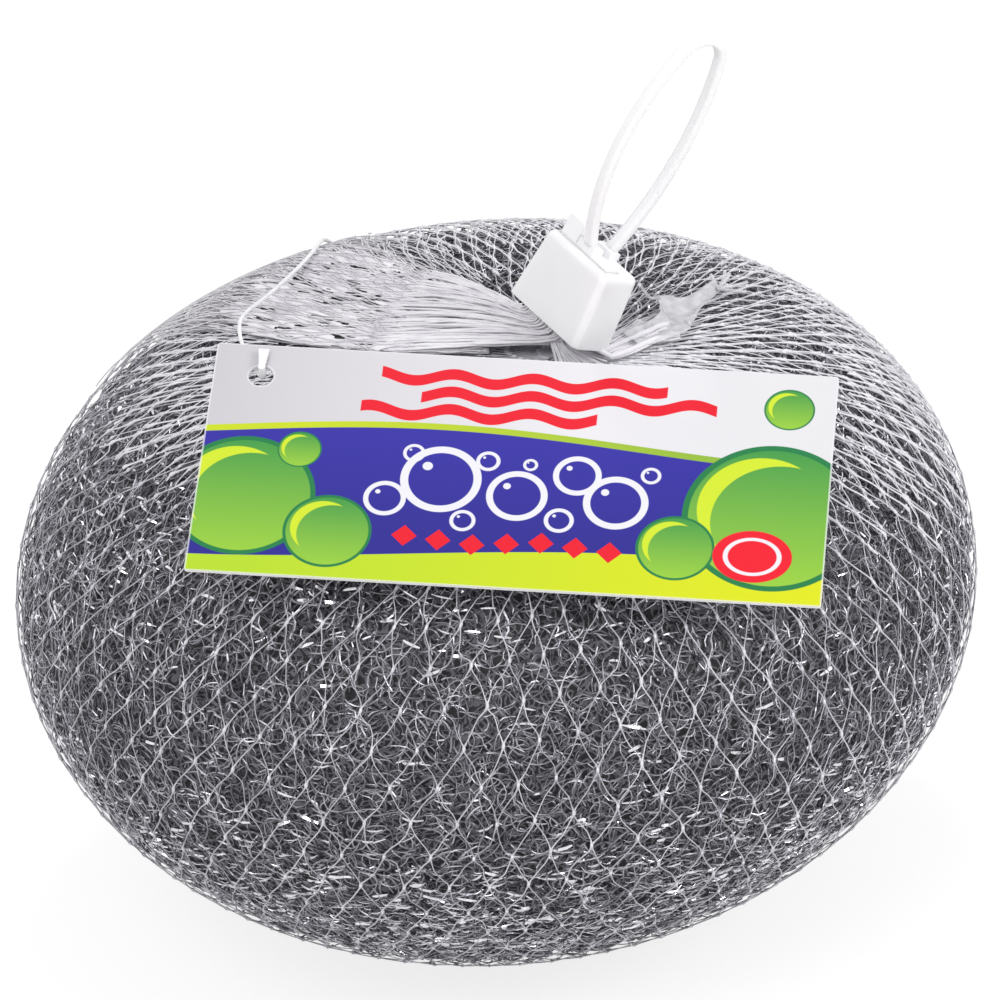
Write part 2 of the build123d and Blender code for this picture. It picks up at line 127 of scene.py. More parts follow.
# ---- Studio ----
# A white sweep and soft boxes. The sweep shows white and keeps a faint shadow, and
# three small bright boxes give the wire its glints.
white, room_light = (1, 1, 1, 1), 0.64
soft_boxes = {  # place, height aimed at, size and power
    "key_box": ((-0.3, -0.55, 0.75), 0.05, (0.5, 0.4), 2.05),
    "fill_box": ((0.6, -0.35, 0.45), 0.05, (0.35, 0.35), 1.9),
    "left_glint_box": ((-0.45, -0.5, 0.12), 0.04, (0.07, 0.05), 0.22),
    "right_glint_box": ((0.4, -0.6, 0.2), 0.04, (0.06, 0.06), 0.25),
    "top_glint_box": ((0.05, 0.25, 0.6), 0.06, (0.08, 0.08), 0.45),
}
floor_reach, floor_glow = 3, 0.8
seen_floor, lit_floor = (0.3, 0.3, 0.3, 1), (0.85, 0.85, 0.85, 1)


def empty_tree(block):
    """Node tree of a material or world, with nothing in it yet."""
    block.use_nodes = True
    block.node_tree.nodes.clear()
    return block.node_tree


def add(tree, kind, inputs=(), **settings):
    """New node with its settings. An input is a plain value, or a node or socket to link."""
    made = tree.nodes.new(kind)
    for key, value in settings.items():
        setattr(made, key, value)
    for socket, value in dict(inputs).items():
        value = value.outputs[0] if isinstance(value, bpy.types.Node) else value
        if isinstance(value, bpy.types.NodeSocket):
            tree.links.new(value, made.inputs[socket])
        else:
            made.inputs[socket].default_value = value
    return made


def maths(tree, operation, *values):
    return add(tree, "ShaderNodeMath", dict(enumerate(values)), operation=operation)


def new_mesh(name, verts, edges, faces):
    mesh = bpy.data.meshes.new(name)
    mesh.from_pydata([tuple(vert) for vert in verts], edges, faces)
    return mesh


bpy.context.scene.view_settings.view_transform = "Standard"
world = bpy.data.worlds.new("studio")
bpy.context.scene.world = world
tree = empty_tree(world)
rays = add(tree, "ShaderNodeLightPath").outputs
seen = maths(tree, "MAXIMUM", rays["Is Camera Ray"], rays["Is Glossy Ray"])
seen = maths(tree, "MAXIMUM", seen, rays["Is Transmission Ray"])
room = add(tree, "ShaderNodeBackground", {"Color": white, "Strength": room_light})
plain = add(tree, "ShaderNodeBackground", {"Color": white})
mixed = add(tree, "ShaderNodeMixShader", {"Fac": seen, 1: room, 2: plain})
add(tree, "ShaderNodeOutputWorld", {"Surface": mixed})

for name, (place, aim_height, size, power) in soft_boxes.items():
    lamp = bpy.data.lights.new(name, "AREA")
    lamp.shape, lamp.energy = "RECTANGLE", power
    lamp.size, lamp.size_y = size
    facing = (Vector((0, 0, aim_height)) - Vector(place)).to_track_quat("-Z", "Y")
    turned = Matrix.Translation(place) @ facing.to_matrix().to_4x4()
    add_object(name, lamp).matrix_world = turned

floor_paint = bpy.data.materials.new("white_sweep")
tree = empty_tree(floor_paint)
rays = add(tree, "ShaderNodeLightPath").outputs
shade = add(tree, "ShaderNodeBsdfDiffuse", {"Color": seen_floor})
glow = add(tree, "ShaderNodeEmission", {"Color": white, "Strength": floor_glow})
shown = add(tree, "ShaderNodeAddShader", {0: shade, 1: glow})
plain = add(tree, "ShaderNodeBsdfDiffuse", {"Color": lit_floor})
mixed = add(tree, "ShaderNodeMixShader", {"Fac": rays["Is Camera Ray"], 1: plain, 2: shown})
add(tree, "ShaderNodeOutputMaterial", {"Surface": mixed})
corners = [(x * floor_reach, y * floor_reach, 0) for x, y in ((-1, -1), (1, -1), (1, 1), (-1, 1))]
floor = add_object("floor", new_mesh("floor", corners, [], [(0, 1, 2, 3)]))
floor.data.materials.append(floor_paint)
floor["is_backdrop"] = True


# ---- Bun of knitted wire: its shape and dark inside ----
# A sleeve knitted from flat drawn wire is rolled into a bun, with a dimple at each
# end of the roll. The inside is a closed shell painted nearly black with faint curls:
# painted shade, standing for the wire deep under the loops.
bag_radius, bag_height, waist_height = 0.060, 0.0781, 0.0419
crest_radius, foot_press = 0.019, 0.002
dimple_depth, dimple_floor = 0.016, 0.004
core_inset, top_sink = 0.0028, 0.0004
core_steps, core_around = 16, 64
# Painted shade: the inside's curls run from near black to dark grey.
core_shade_tones = (0.45, (0.020, 0.020, 0.023)), (1.0, (0.21, 0.205, 0.23))
curl_cells = ((300, 4.6), (240, 5.4))  # how fine the cells are, and the curls in each
curl_swirl, curl_wander = 500, 0.0009


def bun_section(inset, steps):
    """Radius and height over the whole bun, from the dimple's floor to the foot's middle."""
    side, top = bag_radius - inset, bag_height - top_sink - inset
    turn = np.linspace(math.pi, math.pi / 2, steps)[:-1]
    reach = crest_radius - dimple_floor - inset
    lip = np.c_[
        crest_radius + reach * np.cos(turn),
        top - dimple_depth + dimple_depth * np.sin(turn),
    ]
    turn = np.linspace(math.pi / 2, 0, steps)
    shoulder = np.c_[
        crest_radius + (side - crest_radius) * np.cos(turn),
        waist_height + (top - waist_height) * np.sin(turn),
    ]
    drop = waist_height + foot_press - inset
    turn = np.linspace(0, math.asin((waist_height - inset) / drop), steps)[1:]
    belly = np.c_[side * np.cos(turn), waist_height - drop * np.sin(turn)]
    floor_line = np.c_[np.linspace(0, lip[0, 0], 4)[:-1], np.full(3, lip[0, 1])]
    foot_line = np.c_[np.linspace(belly[-1, 0], 0, 8)[1:], np.full(7, belly[-1, 1])]
    return np.vstack([floor_line, lip, shoulder, belly, foot_line])


def spun_mesh(name, section, around):
    """Closed round mesh from a section that starts and ends on the axis."""
    angles = np.linspace(0, 2 * math.pi, around, endpoint=False)
    rings = section[1:-1]
    verts = [(0, 0, section[0, 1])]
    for radius, height in rings:
        verts += [(radius * math.cos(a), radius * math.sin(a), height) for a in angles]
    verts.append((0, 0, section[-1, 1]))
    last = len(verts) - 1
    faces = []
    for i in range(around):
        j = (i + 1) % around
        faces.append((0, 1 + i, 1 + j))
        for ring in range(len(rings) - 1):
            upper, lower = 1 + ring * around, 1 + (ring + 1) * around
            faces.append((upper + i, lower + i, lower + j, upper + j))
        faces.append((last, last - around + j, last - around + i))
    return new_mesh(name, verts, [], faces)


def two_tones(tree, value, *stops):
    """Colour that goes from one tone to another as a value goes from stop to stop."""
    ramp = add(tree, "ShaderNodeValToRGB", {"Fac": value})
    for element, (position, colour) in zip(ramp.color_ramp.elements, stops):
        element.position, element.color = position, (*colour, 1)
    return ramp


def end_paint(tree, looks):
    """Ends a material's tree in one shader."""
    shader = add(tree, "ShaderNodeBsdfPrincipled", looks)
    add(tree, "ShaderNodeOutputMaterial", {"Surface": shader})


core_shade_paint = bpy.data.materials.new("deep_wire_painted_shade")
tree = empty_tree(core_shade_paint)
place = add(tree, "ShaderNodeTexCoord").outputs["Object"]
swirl = add(tree, "ShaderNodeTexNoise", {"Vector": place, "Scale": curl_swirl})
astray = {"Fac": curl_wander, 1: place, 2: swirl.outputs["Color"]}
moved = add(tree, "ShaderNodeMixRGB", astray, blend_type="LINEAR_LIGHT")
curls = []
for scale, turns in curl_cells:
    cell = add(tree, "ShaderNodeTexVoronoi", {"Vector": moved, "Scale": scale})
    ring = maths(tree, "MULTIPLY", cell.outputs["Distance"], turns * 2 * math.pi)
    curls.append(maths(tree, "SINE", ring))
tones = two_tones(tree, maths(tree, "MAXIMUM", *curls), *core_shade_tones)
end_paint(tree, {"Base Color": tones, "Roughness": 0.6})

core_mesh = spun_mesh("bun_core", bun_section(core_inset, core_steps), core_around)
core_mesh.materials.append(core_shade_paint)
core_mesh.shade_smooth()
core = add_object("bun_core", core_mesh)
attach(core, "bun")
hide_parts("wire_scrubber")


# ---- Bun of knitted wire: the loops ----
# Flat bright wire knitted in rows of open loops, crushed and turned every way as
# the bun is rolled. Two layers of loops lie over the dark inside.
loop_radius, loop_steps = 0.00165, 10
stitch_shapes = (  # half turn, length, rise and spread of the legs
    (2.6, 1.0, 0.14, 0.9), (2.3, 1.35, -0.16, 1.4), (2.85, 0.8, 0.2, 0.5),
    (1.7, 1.5, 0.15, 0.0), (2.5, 1.15, 0.25, 1.1),
)
stitch_turns = (-0.22, -0.22, -3.14), (0.22, 0.22, 3.14)
stitch_sizes = (0.75, 0.7, 0.7), (1.35, 1.3, 1.3)
densest, crush, crush_scale = 600000, 0.0011, 210
wire_layers = (  # depth, spacing, seed, wire width and wire thickness
    (0.0013, 0.0015, 1, 0.00015, 0.00013), (0.0020, 0.0017, 2, 0.0002, 0.00012),
)
wire_sectors, wire_steps, wire_around = 5, 24, 40
wire_tones = (0.35, (0.20, 0.195, 0.22)), (0.66, (0.50, 0.49, 0.53))


def mottled(name, patches, tones, looks, grain=None):
    """Material that wanders between two tones over the piece. A grain gives it fine bumps,
    and a roughness that is a pair of values wanders with the grain."""
    paint = bpy.data.materials.new(name)
    tree = empty_tree(paint)
    place = {"Vector": add(tree, "ShaderNodeTexCoord").outputs["Object"]}
    patch = add(tree, "ShaderNodeTexNoise", {**place, **patches})
    looks = {"Base Color": two_tones(tree, patch, *tones), **looks}
    if grain:
        fineness, strength, depth = grain
        fine = add(tree, "ShaderNodeTexNoise", {**place, **fineness})
        bump = {"Height": fine, "Strength": strength, "Distance": depth}
        looks["Normal"] = add(tree, "ShaderNodeBump", bump)
    if isinstance(looks["Roughness"], tuple):
        low, high = looks["Roughness"]
        span = {"Value": fine, "To Min": low, "To Max": high}
        looks["Roughness"] = add(tree, "ShaderNodeMapRange", span)
    end_paint(tree, looks)
    return paint


wire_paint = mottled(
    "drawn_wire", {"Scale": 420}, wire_tones, {"Metallic": 1.0, "Roughness": (0.2, 0.42)},
    grain=({"Scale": 2600}, 0.15, 0.0001),
)


def loop_line(name, half_turn, long_share, rise, leg):
    """One open stitch of wire as a curve: a round loop, its two legs and a rise."""
    turn = np.linspace(-half_turn, half_turn, loop_steps + 1)
    across = np.sin(turn) * loop_radius
    along = np.cos(turn) * loop_radius * long_share
    spread = np.clip(np.abs(turn) - 2.0, 0, None)
    across += np.sign(turn) * spread * leg * loop_radius
    out = rise * loop_radius * np.cos(turn * 1.6)
    curve = bpy.data.curves.new(name, "CURVE")
    curve.dimensions = "3D"
    spline = curve.splines.new("POLY")
    spline.points.add(loop_steps)
    for point, x, y, z in zip(spline.points, across, along, out):
        point.co = (x, y, z, 1)
        point.tilt = 0.35 * math.sin(3 * x / loop_radius + rise * 5)
    return bpy.data.objects.new(name, curve)


def new_tree(name, sockets):
    """Geometry tree with a mesh in, a mesh out and named inputs."""
    tree = bpy.data.node_groups.new(name, "GeometryNodeTree")
    face = tree.interface
    face.new_socket("Geometry", in_out="INPUT", socket_type="NodeSocketGeometry")
    ids = {}
    for socket, kind in sockets.items():
        made = face.new_socket(socket, in_out="INPUT", socket_type="NodeSocket" + kind)
        ids[socket] = made.identifier
    face.new_socket("Geometry", in_out="OUTPUT", socket_type="NodeSocketGeometry")
    return tree, ids, add(tree, "NodeGroupInput").outputs


def sweep(tree, line, profile, paint, smooth=True, **scale):
    """Ends a geometry tree: the profile swept along the lines, in its material."""
    sockets = {"Curve": line, "Profile Curve": profile, "Fill Caps": True, **scale}
    shaded = {"Geometry": add(tree, "GeometryNodeCurveToMesh", sockets), "Shade Smooth": smooth}
    shaded = add(tree, "GeometryNodeSetShadeSmooth", shaded)
    real = add(tree, "GeometryNodeRealizeInstances", {0: shaded})
    coat = add(tree, "GeometryNodeSetMaterial", {"Geometry": real, "Material": paint})
    add(tree, "NodeGroupOutput", {0: coat})


def made_real(guide, name):
    """Turns an object with a modifier into a plain mesh object."""
    bpy.context.view_layer.update()
    depsgraph = bpy.context.evaluated_depsgraph_get()
    mesh = bpy.data.meshes.new_from_object(guide.evaluated_get(depsgraph))
    mesh.name = name
    guide.modifiers.clear()
    bpy.data.objects.remove(guide)
    return add_object(name, mesh)


def grown(name, mesh, tree, ids, values):
    """Runs a geometry tree on a mesh and returns its result as a plain mesh object."""
    guide = add_object("guide", mesh)
    modifier = guide.modifiers.new("grow", "NODES")
    modifier.node_group = tree
    for socket, value in values.items():
        modifier[ids[socket]] = value
    return made_real(guide, name)


def sector_mesh(section, around, first, last):
    """Open strip of a round surface between two angles, for scattering on."""
    angles = np.linspace(first, last, around + 1)
    verts = [(r * math.cos(a), r * math.sin(a), z) for a in angles for r, z in section]
    row = len(section)
    starts = [i * row + j for i in range(around) for j in range(row - 1)]
    return new_mesh("sector", verts, [], [(a, a + 1, a + 1 + row, a + row) for a in starts])


knit_sockets = {
    "Spacing": "Float", "Seed": "Int", "Crush": "Float", "Stitches": "Collection",
    "Wire width": "Float", "Wire thickness": "Float", "Wire": "Material",
}
knit_tree, knit_ids, given = new_tree("knitted_wire", knit_sockets)
seeded = {"Seed": given["Seed"]}


def knit(kind, inputs=(), **settings):
    """New node in the wire's tree."""
    return add(knit_tree, kind, inputs, **settings)


def at_random(low, high):
    spread = {0: low, 1: high, **seeded}
    return knit("FunctionNodeRandomValue", spread, data_type="FLOAT_VECTOR")


scatter = knit(
    "GeometryNodeDistributePointsOnFaces",
    {"Mesh": given["Geometry"], "Distance Min": given["Spacing"], "Density Max": densest, **seeded},
    distribute_method="POISSON",
)

# Each stitch lies on the bun, its length along the roll's edge, turned at random.
place = knit("ShaderNodeSeparateXYZ", {0: knit("GeometryNodeInputPosition")}).outputs
backward = maths(knit_tree, "MULTIPLY", place["Y"], -1)
around = knit("ShaderNodeCombineXYZ", {"X": backward, "Y": place["X"]})
along = knit("FunctionNodeAlignRotationToVector", {"Vector": around}, axis="X")
lying = {"Rotation": along, "Vector": scatter.outputs["Normal"]}
lying = knit("FunctionNodeAlignRotationToVector", lying, axis="Z", pivot_axis="X")
twist = knit("FunctionNodeEulerToRotation", {0: at_random(*stitch_turns)})
turned = {"Rotation": lying, "Rotate By": twist}
stitch = {"Collection": given["Stitches"], "Separate Children": True, "Reset Children": True}
put = {
    "Points": scatter,
    "Instance": knit("GeometryNodeCollectionInfo", stitch),
    "Pick Instance": True,
    "Rotation": knit("FunctionNodeRotateRotation", turned, rotation_space="LOCAL"),
    "Scale": at_random(*stitch_sizes),
}
real = knit("GeometryNodeRealizeInstances", {0: knit("GeometryNodeInstanceOnPoints", put)})

# The rolled sleeve crushes its loops, so their lines wander.
swirl = {"Vector": knit("GeometryNodeInputPosition"), "Scale": crush_scale, "Detail": 1}
wander = {0: knit("ShaderNodeTexNoise", swirl).outputs["Color"], 1: (0.5, 0.5, 0.5)}
wander = knit("ShaderNodeVectorMath", wander, operation="SUBTRACT")
push = knit("ShaderNodeVectorMath", {0: wander, "Scale": given["Crush"]}, operation="SCALE")
crushed = knit("GeometryNodeSetPosition", {"Geometry": real, "Offset": push})
flat = {"Width": given["Wire width"], "Height": given["Wire thickness"]}
flat = knit("GeometryNodeCurvePrimitiveQuadrilateral", flat)
sweep(knit_tree, crushed, flat, given["Wire"], smooth=False)

stitches = bpy.data.collections.new("wire_stitches")
for index, shape in enumerate(stitch_shapes):
    stitches.objects.link(loop_line("stitch_%d" % index, *shape))
for layer, (depth, spacing, seed, width, thickness) in enumerate(wire_layers):
    section = bun_section(depth, wire_steps)
    for part in range(wire_sectors):
        low, high = (2 * math.pi * end / wire_sectors for end in (part, part + 1))
        piece = grown(
            "wire_loops_%d_%d" % (layer + 1, part + 1),
            sector_mesh(section, wire_around, low, high),
            knit_tree,
            knit_ids,
            {
                "Spacing": spacing,
                "Seed": seed * 7 + part,
                "Crush": crush,
                "Stitches": stitches,
                "Wire width": width,
                "Wire thickness": thickness,
                "Wire": wire_paint,
            },
        )
        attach(piece, "bun")
for stitch in list(stitches.objects):
    bpy.data.objects.remove(stitch)


# ---- Bun of knitted wire: the flat bends ----
# Where a flat wire bends sharply it lies broadside to the light and flashes. The
# bends run along the roll, and are thickest round its lower rim. Their colour is
# much brighter than the rest of the wire: a painted glint over their real reflection.
bend_count, bend_length, bend_width, bend_thickness = 6500, 0.0021, 0.00034, 0.00006
bend_inset, bend_lean, bend_tip = 0.0010, 0.26, 0.55
even_share, rims = 0.10, ((0.020, 0.014, 3.0), (0.066, 0.010, 0.5))
foot_top, foot_share = 0.004, 0.3
# Painted glint: the bends are far brighter than the same wire in the loops.
bend_glint_tones = (0.3, (0.74, 0.73, 0.77)), (0.7, (0.95, 0.94, 0.98))


def reworked(mesh, work):
    """Runs a job on a mesh that is opened for editing."""
    shape = bmesh.new()
    shape.from_mesh(mesh)
    work(shape)
    shape.to_mesh(mesh)
    shape.free()


def turn_outward(shape):
    bmesh.ops.recalc_face_normals(shape, faces=shape.faces)


bend_looks = {"Metallic": 1.0, "Roughness": 0.14}
bend_glint_paint = mottled("bright_bend_painted_glint", {"Scale": 1500}, bend_glint_tones, bend_looks)

random = np.random.default_rng(5)
section = bun_section(bend_inset, 40)
spans = np.linalg.norm(np.diff(section, axis=0), axis=1)
share_of_ring = spans * (section[:-1, 0] + section[1:, 0])
heights = (section[:-1, 1] + section[1:, 1]) / 2
near_rims = (share * np.exp(-(((heights - rim) / reach) ** 2)) for rim, reach, share in rims)
share_of_ring *= sum(near_rims, even_share)
share_of_ring[heights < foot_top] *= foot_share
picks = random.choice(len(spans), bend_count, p=share_of_ring / share_of_ring.sum())
verts, faces = [], []
for pick in picks:
    turn = random.uniform(0, 2 * math.pi)
    way = random.uniform()
    radius, height = section[pick] * (1 - way) + section[pick + 1] * way
    slope = (section[pick + 1] - section[pick]) / max(spans[pick], 1e-6)
    radial = np.array([math.cos(turn), math.sin(turn), 0])
    down = slope[0] * radial + np.array([0, 0, slope[1]])
    side = np.array([-math.sin(turn), math.cos(turn), 0])
    out = np.cross(down, side)
    if out @ radial + out[2] * 0.5 < 0:
        out = -out
    lean = random.normal(0, bend_lean)
    along = side * math.cos(lean) + down * math.sin(lean)
    tip = random.normal(0, bend_tip)
    across = np.cross(out, along)
    across = across * math.cos(tip) + out * math.sin(tip)
    out = np.cross(along, across)
    middle = radial * radius + np.array([0, 0, height])
    reach = bend_length * random.uniform(0.4, 1.5)
    width = bend_width * random.uniform(0.4, 1.25)
    bow = reach * random.uniform(0.1, 0.3)
    first = len(verts)
    for share in (-1, -0.4, 0.4, 1):
        line = middle + along * reach / 2 * share - out * bow * share * share
        half = across * width / 2 * (1 - 0.5 * share * share)
        thick = out * bend_thickness / 2
        verts += [line - half - thick, line + half - thick]
        verts += [line + half + thick, line - half + thick]
    for step in range(3):
        base = first + 4 * step
        for corner, following in ((0, 1), (1, 2), (2, 3), (3, 0)):
            low, high = base + corner, base + following
            faces.append((low, high, high + 4, low + 4))
    faces.append((first + 3, first + 2, first + 1, first))
    faces.append((first + 12, first + 13, first + 14, first + 15))
bend_mesh = new_mesh("wire_bends", verts, [], faces)
reworked(bend_mesh, turn_outward)
bend_mesh.materials.append(bend_glint_paint)
bends = add_object("wire_bends", bend_mesh)
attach(bends, "bun")


# ---- Net bag: the strands ----
# Thin white plastic strands, welded to each other at every crossing into a net of
# long cells. The sleeve shuts at a rosette under the bun and is drawn to the clip.
strand_width, net_columns, knot_pitch = 0.00017, 74, 0.0050
net_low = Vector((0, 0, 0.0008))
net_high = Vector((0.0105, -0.0155, 0.0779))
net_inset, net_start, net_stop = 0.0002, 0.0042, 0.0018
strand_marks = np.array([0, 0.07, 0.16, 0.32, 0.5, 0.68, 0.84, 0.93])
cell_drift, row_drift = 0.3, 0.0008
tight_reach, tight_width, slack_thinner = 0.05, 1.12, 0.34
least_stray, slack_ripple, slack_sag = 0.10, 0.22, 0.50
weld_reach, weld_swell = 0.0005, 1.6
tag_hole, tag_hole_reach = np.array([-0.0163, 0.0312]), np.array([0.0015, 0.0026])
# Painted shade: the bag's strands are greyer than the welds and fan of the same white plastic.
net_shaded_tones = (0.3, (0.44, 0.43, 0.48)), (0.65, (0.78, 0.77, 0.82))


def bag_inside(points, inset):
    """True where points lie inside the bag drawn in by inset."""
    radius = np.hypot(points[..., 0], points[..., 1])
    top = np.clip((radius - crest_radius) / (bag_radius - inset - crest_radius), 0, 1)
    ceiling = waist_height + (bag_height - inset - waist_height) * np.sqrt(1 - top**2)
    drop = waist_height + foot_press - inset
    low = np.clip(radius / (bag_radius - inset), 0, 1)
    base = np.maximum(waist_height - drop * np.sqrt(1 - low**2), inset)
    return (radius < bag_radius - inset) & (points[..., 2] < ceiling) & (points[..., 2] > base)


def wobble(*spot):
    """Smooth noise between -1 and 1 at a spot."""
    return noise.noise(Vector(spot))


# Every strand's plane passes through the rosette and the clip's mouth, and the
# planes are spaced so that the cells are equally wide around the bag's waist.
net_axis = np.array(net_high - net_low)
net_axis /= np.linalg.norm(net_axis)
net_centre = np.array((net_low + net_high) / 2)
net_side = np.cross(net_axis, (0, 1, 0))
net_side /= np.linalg.norm(net_side)
net_other = np.cross(net_axis, net_side)
fine_count = 20 * net_columns
fine_turns = np.linspace(0, 2 * math.pi, fine_count, endpoint=False)
fine_falls = np.linspace(math.pi, 0, 300)


def bag_reach(turns, falls):
    """Points on the bag at turns about the net's axis and falls from it."""
    outward = np.cos(turns)[:, None] * net_side + np.sin(turns)[:, None] * net_other
    ahead, aside = np.cos(falls)[None, :, None], np.sin(falls)[None, :, None]
    rays = ahead * net_axis + aside * outward[:, None, :]
    near = np.zeros(rays.shape[:2])
    far = np.full(rays.shape[:2], 0.12)
    for _ in range(34):
        half = (near + far) / 2
        inside = bag_inside(net_centre + rays * half[..., None], net_inset)
        near, far = np.where(inside, half, near), np.where(inside, far, half)
    return net_centre + rays * near[..., None]


girth = bag_reach(np.append(fine_turns, 2 * math.pi), np.array([math.pi / 2]))[:, 0]
around = np.insert(np.cumsum(np.linalg.norm(np.diff(girth, axis=0), axis=1)), 0, 0)
even = np.linspace(0, around[-1], fine_count, endpoint=False)
even_turns = np.interp(even, around, np.append(fine_turns, 2 * math.pi))
net_table = bag_reach(even_turns, fine_falls)
steps = np.linalg.norm(np.diff(net_table, axis=1), axis=2)
net_lengths = np.hstack([np.zeros((fine_count, 1)), np.cumsum(steps, axis=1)])


def net_length(column):
    """Way from the rosette to the clip's mouth over the bag, along one column of cells."""
    return net_lengths[int(round(column / net_columns * fine_count)) % fine_count, -1]


def net_point(column, along):
    """Point on the bag in a column of cells, some way up from the rosette, a little astray."""
    drift = cell_drift * wobble(column * 0.35, along * 45, 3.0)
    along += row_drift * wobble(column * 0.35, along * 45, 9.0)
    spot = (column + drift) / net_columns * fine_count
    first = int(math.floor(spot))
    share = spot - first
    found = 0
    for row, weight in ((first % fine_count, 1 - share), ((first + 1) % fine_count, share)):
        lengths, table = net_lengths[row], net_table[row]
        point = [np.interp(along, lengths, table[:, axis]) for axis in range(3)]
        found = found + weight * np.array(point)
    return found


def over_bag(spot, lift):
    """Point over the bag's top at a spot seen from above, lifted along the bag's normal."""
    spot = np.array(spot[:2], float)
    radius = np.hypot(*spot)
    reach = bag_radius - crest_radius
    cosine = min(max((radius - crest_radius) / reach, 0), 0.999)
    sine = math.sqrt(1 - cosine**2)
    normal = np.array([cosine / reach, sine / (bag_height - waist_height)])
    normal /= np.linalg.norm(normal)
    height = waist_height + (bag_height - waist_height) * sine
    spot = spot * (1 + lift * normal[0] / max(radius, 0.001))
    return np.array([spot[0], spot[1], height + lift * normal[1]])


def past_tag(spot):
    """Keeps a strand clear of the open cell that the tag's thread passes through."""
    away = (spot - tag_hole) / tag_hole_reach
    far = max(np.linalg.norm(away), 0.05)
    return spot if far > 1 else tag_hole + away / far * tag_hole_reach


def from_tag(spot):
    """How far a spot lies from the middle of the tag's open cell, which ends at 1."""
    return np.linalg.norm((spot[:2] - tag_hole) / tag_hole_reach)


def weave(rows, shut=1.22):
    """Swing of a strand between its neighbours: 1 and -1 at the welds, straight between."""
    swing = 2 / math.pi * math.asin(math.cos(math.pi * rows))
    return max(-1, min(1, shut * swing))


def add_line(lines, points, swells=()):
    """Adds a line through points to a piece's lines, which are points, edges and swells."""
    verts, edges, widths = lines
    first = len(verts)
    verts.extend(points)
    edges.extend((first + i, first + i + 1) for i in range(len(points) - 1))
    widths.extend(swells or [1.0] * len(points))


def lay_strand(lines, middle, way, columns, pitch, first_along, last_along):
    """One strand of the net: it swells at its welds, is tight on the way up to the front
    and slack on the way back."""
    rows = np.arange(0, last_along / pitch + 1)
    stops = (rows[:, None] + strand_marks[None, :]).ravel()
    stops = stops[(stops * pitch > first_along) & (stops * pitch < last_along)]
    index = int(round(middle / columns * fine_count)) % fine_count
    sideways = np.interp(stops * pitch, net_lengths[index], net_table[index][:, 0])
    points, swells = [], []
    for row, x in zip(stops, sideways):
        step = math.floor(row)
        lead = -way if step % 2 == 0 else way
        slack = min(max(0.5 + lead * x / tight_reach, 0), 1)
        free = math.sin(math.pi * row) ** 2
        swing = weave(row, 1.1) * 0.7 + 0.3 * math.cos(math.pi * row)
        ripple = (least_stray + slack_ripple * slack) * free
        ripple *= wobble(middle * 1.7, row * 1.3, 6.0)
        sag = (least_stray + slack_sag * slack) * free
        sag *= wobble(middle * 3.1, step * 1.9, 16.0)
        column = middle + way * (swing / 4 + ripple)
        point = net_point(column * net_columns / columns, (row + sag) * pitch)
        if from_tag(point) <= 1:
            point = over_bag(past_tag(point[:2]), -net_inset)
        points.append(point)
        near = abs(row - round(row)) * pitch
        swell = 1 + weld_swell * math.exp(-((near / weld_reach) ** 2))
        swells.append((tight_width - slack_thinner * slack) * swell)
    add_line(lines, points, swells)


net_parts = [([], [], []) for part in range(3)]
for strand in range(2 * net_columns):
    part, middle = strand * 3 // (2 * net_columns), (strand + 0.5) / 2
    way, last = (-1) ** strand, net_length(middle) - net_stop
    lay_strand(net_parts[part], middle, way, net_columns, knot_pitch, net_start, last)


def round_profile(tree, width, sides):
    ring = {"Radius": maths(tree, "MULTIPLY", width, 0.5), "Resolution": sides}
    return add(tree, "GeometryNodeCurvePrimitiveCircle", ring, mode="RADIUS")


sockets = {"Width": "Float", "Sides": "Int", "Plastic": "Material"}
strand_tree, strand_ids, given = new_tree("net_strand", sockets)
swell = add(strand_tree, "GeometryNodeInputNamedAttribute", {"Name": "swell"}, data_type="FLOAT")
line = add(strand_tree, "GeometryNodeMeshToCurve", {"Mesh": given["Geometry"]})
ring = round_profile(strand_tree, given["Width"], given["Sides"])
sweep(strand_tree, line, ring, given["Plastic"], Scale=swell)


def strand_piece(name, lines, width, sides, paint):
    """Lines of points, swept into thin round strands, thicker where they swell."""
    verts, edges, swells = lines
    mesh = new_mesh("lines", verts, edges, [])
    mesh.attributes.new("swell", "FLOAT", "POINT").data.foreach_set("value", swells)
    values = {"Width": width, "Sides": sides, "Plastic": paint}
    return grown(name, mesh, strand_tree, strand_ids, values)


# The bag's strands get the greyer, shaded copy of the white plastic: painted shade.
net_shaded_paint = mottled("white_strand", {"Scale": 160}, net_shaded_tones, {"Roughness": 0.4})
for index, lines in enumerate(net_parts):
    net = strand_piece("net_strands_%d" % (index + 1), lines, strand_width, 3, net_shaded_paint)
    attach(net, "bun")
    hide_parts("net_bag")


# ---- Net bag: the doubled net ----
# The sleeve's spare net lies double over the bun's top, in two layers with ragged
# edges. The second layer leaves out the front, and both stop short on the left.
top_layers, top_width = ((88, 0.0043, 1.0), (99, 0.0037, 0.25)), 0.00022
top_reach, top_back, top_front, top_ragged = 0.054, 0.008, 0.024, 0.012
left_stop, second_stop, stop_spread, reach_spread = 0.025, 0.036, 0.003, 0.004
right_x, right_y, right_from = 0.94, -0.34, 0.012
top_tones = (0.3, (0.72, 0.71, 0.76)), (0.65, (0.92, 0.91, 0.95))

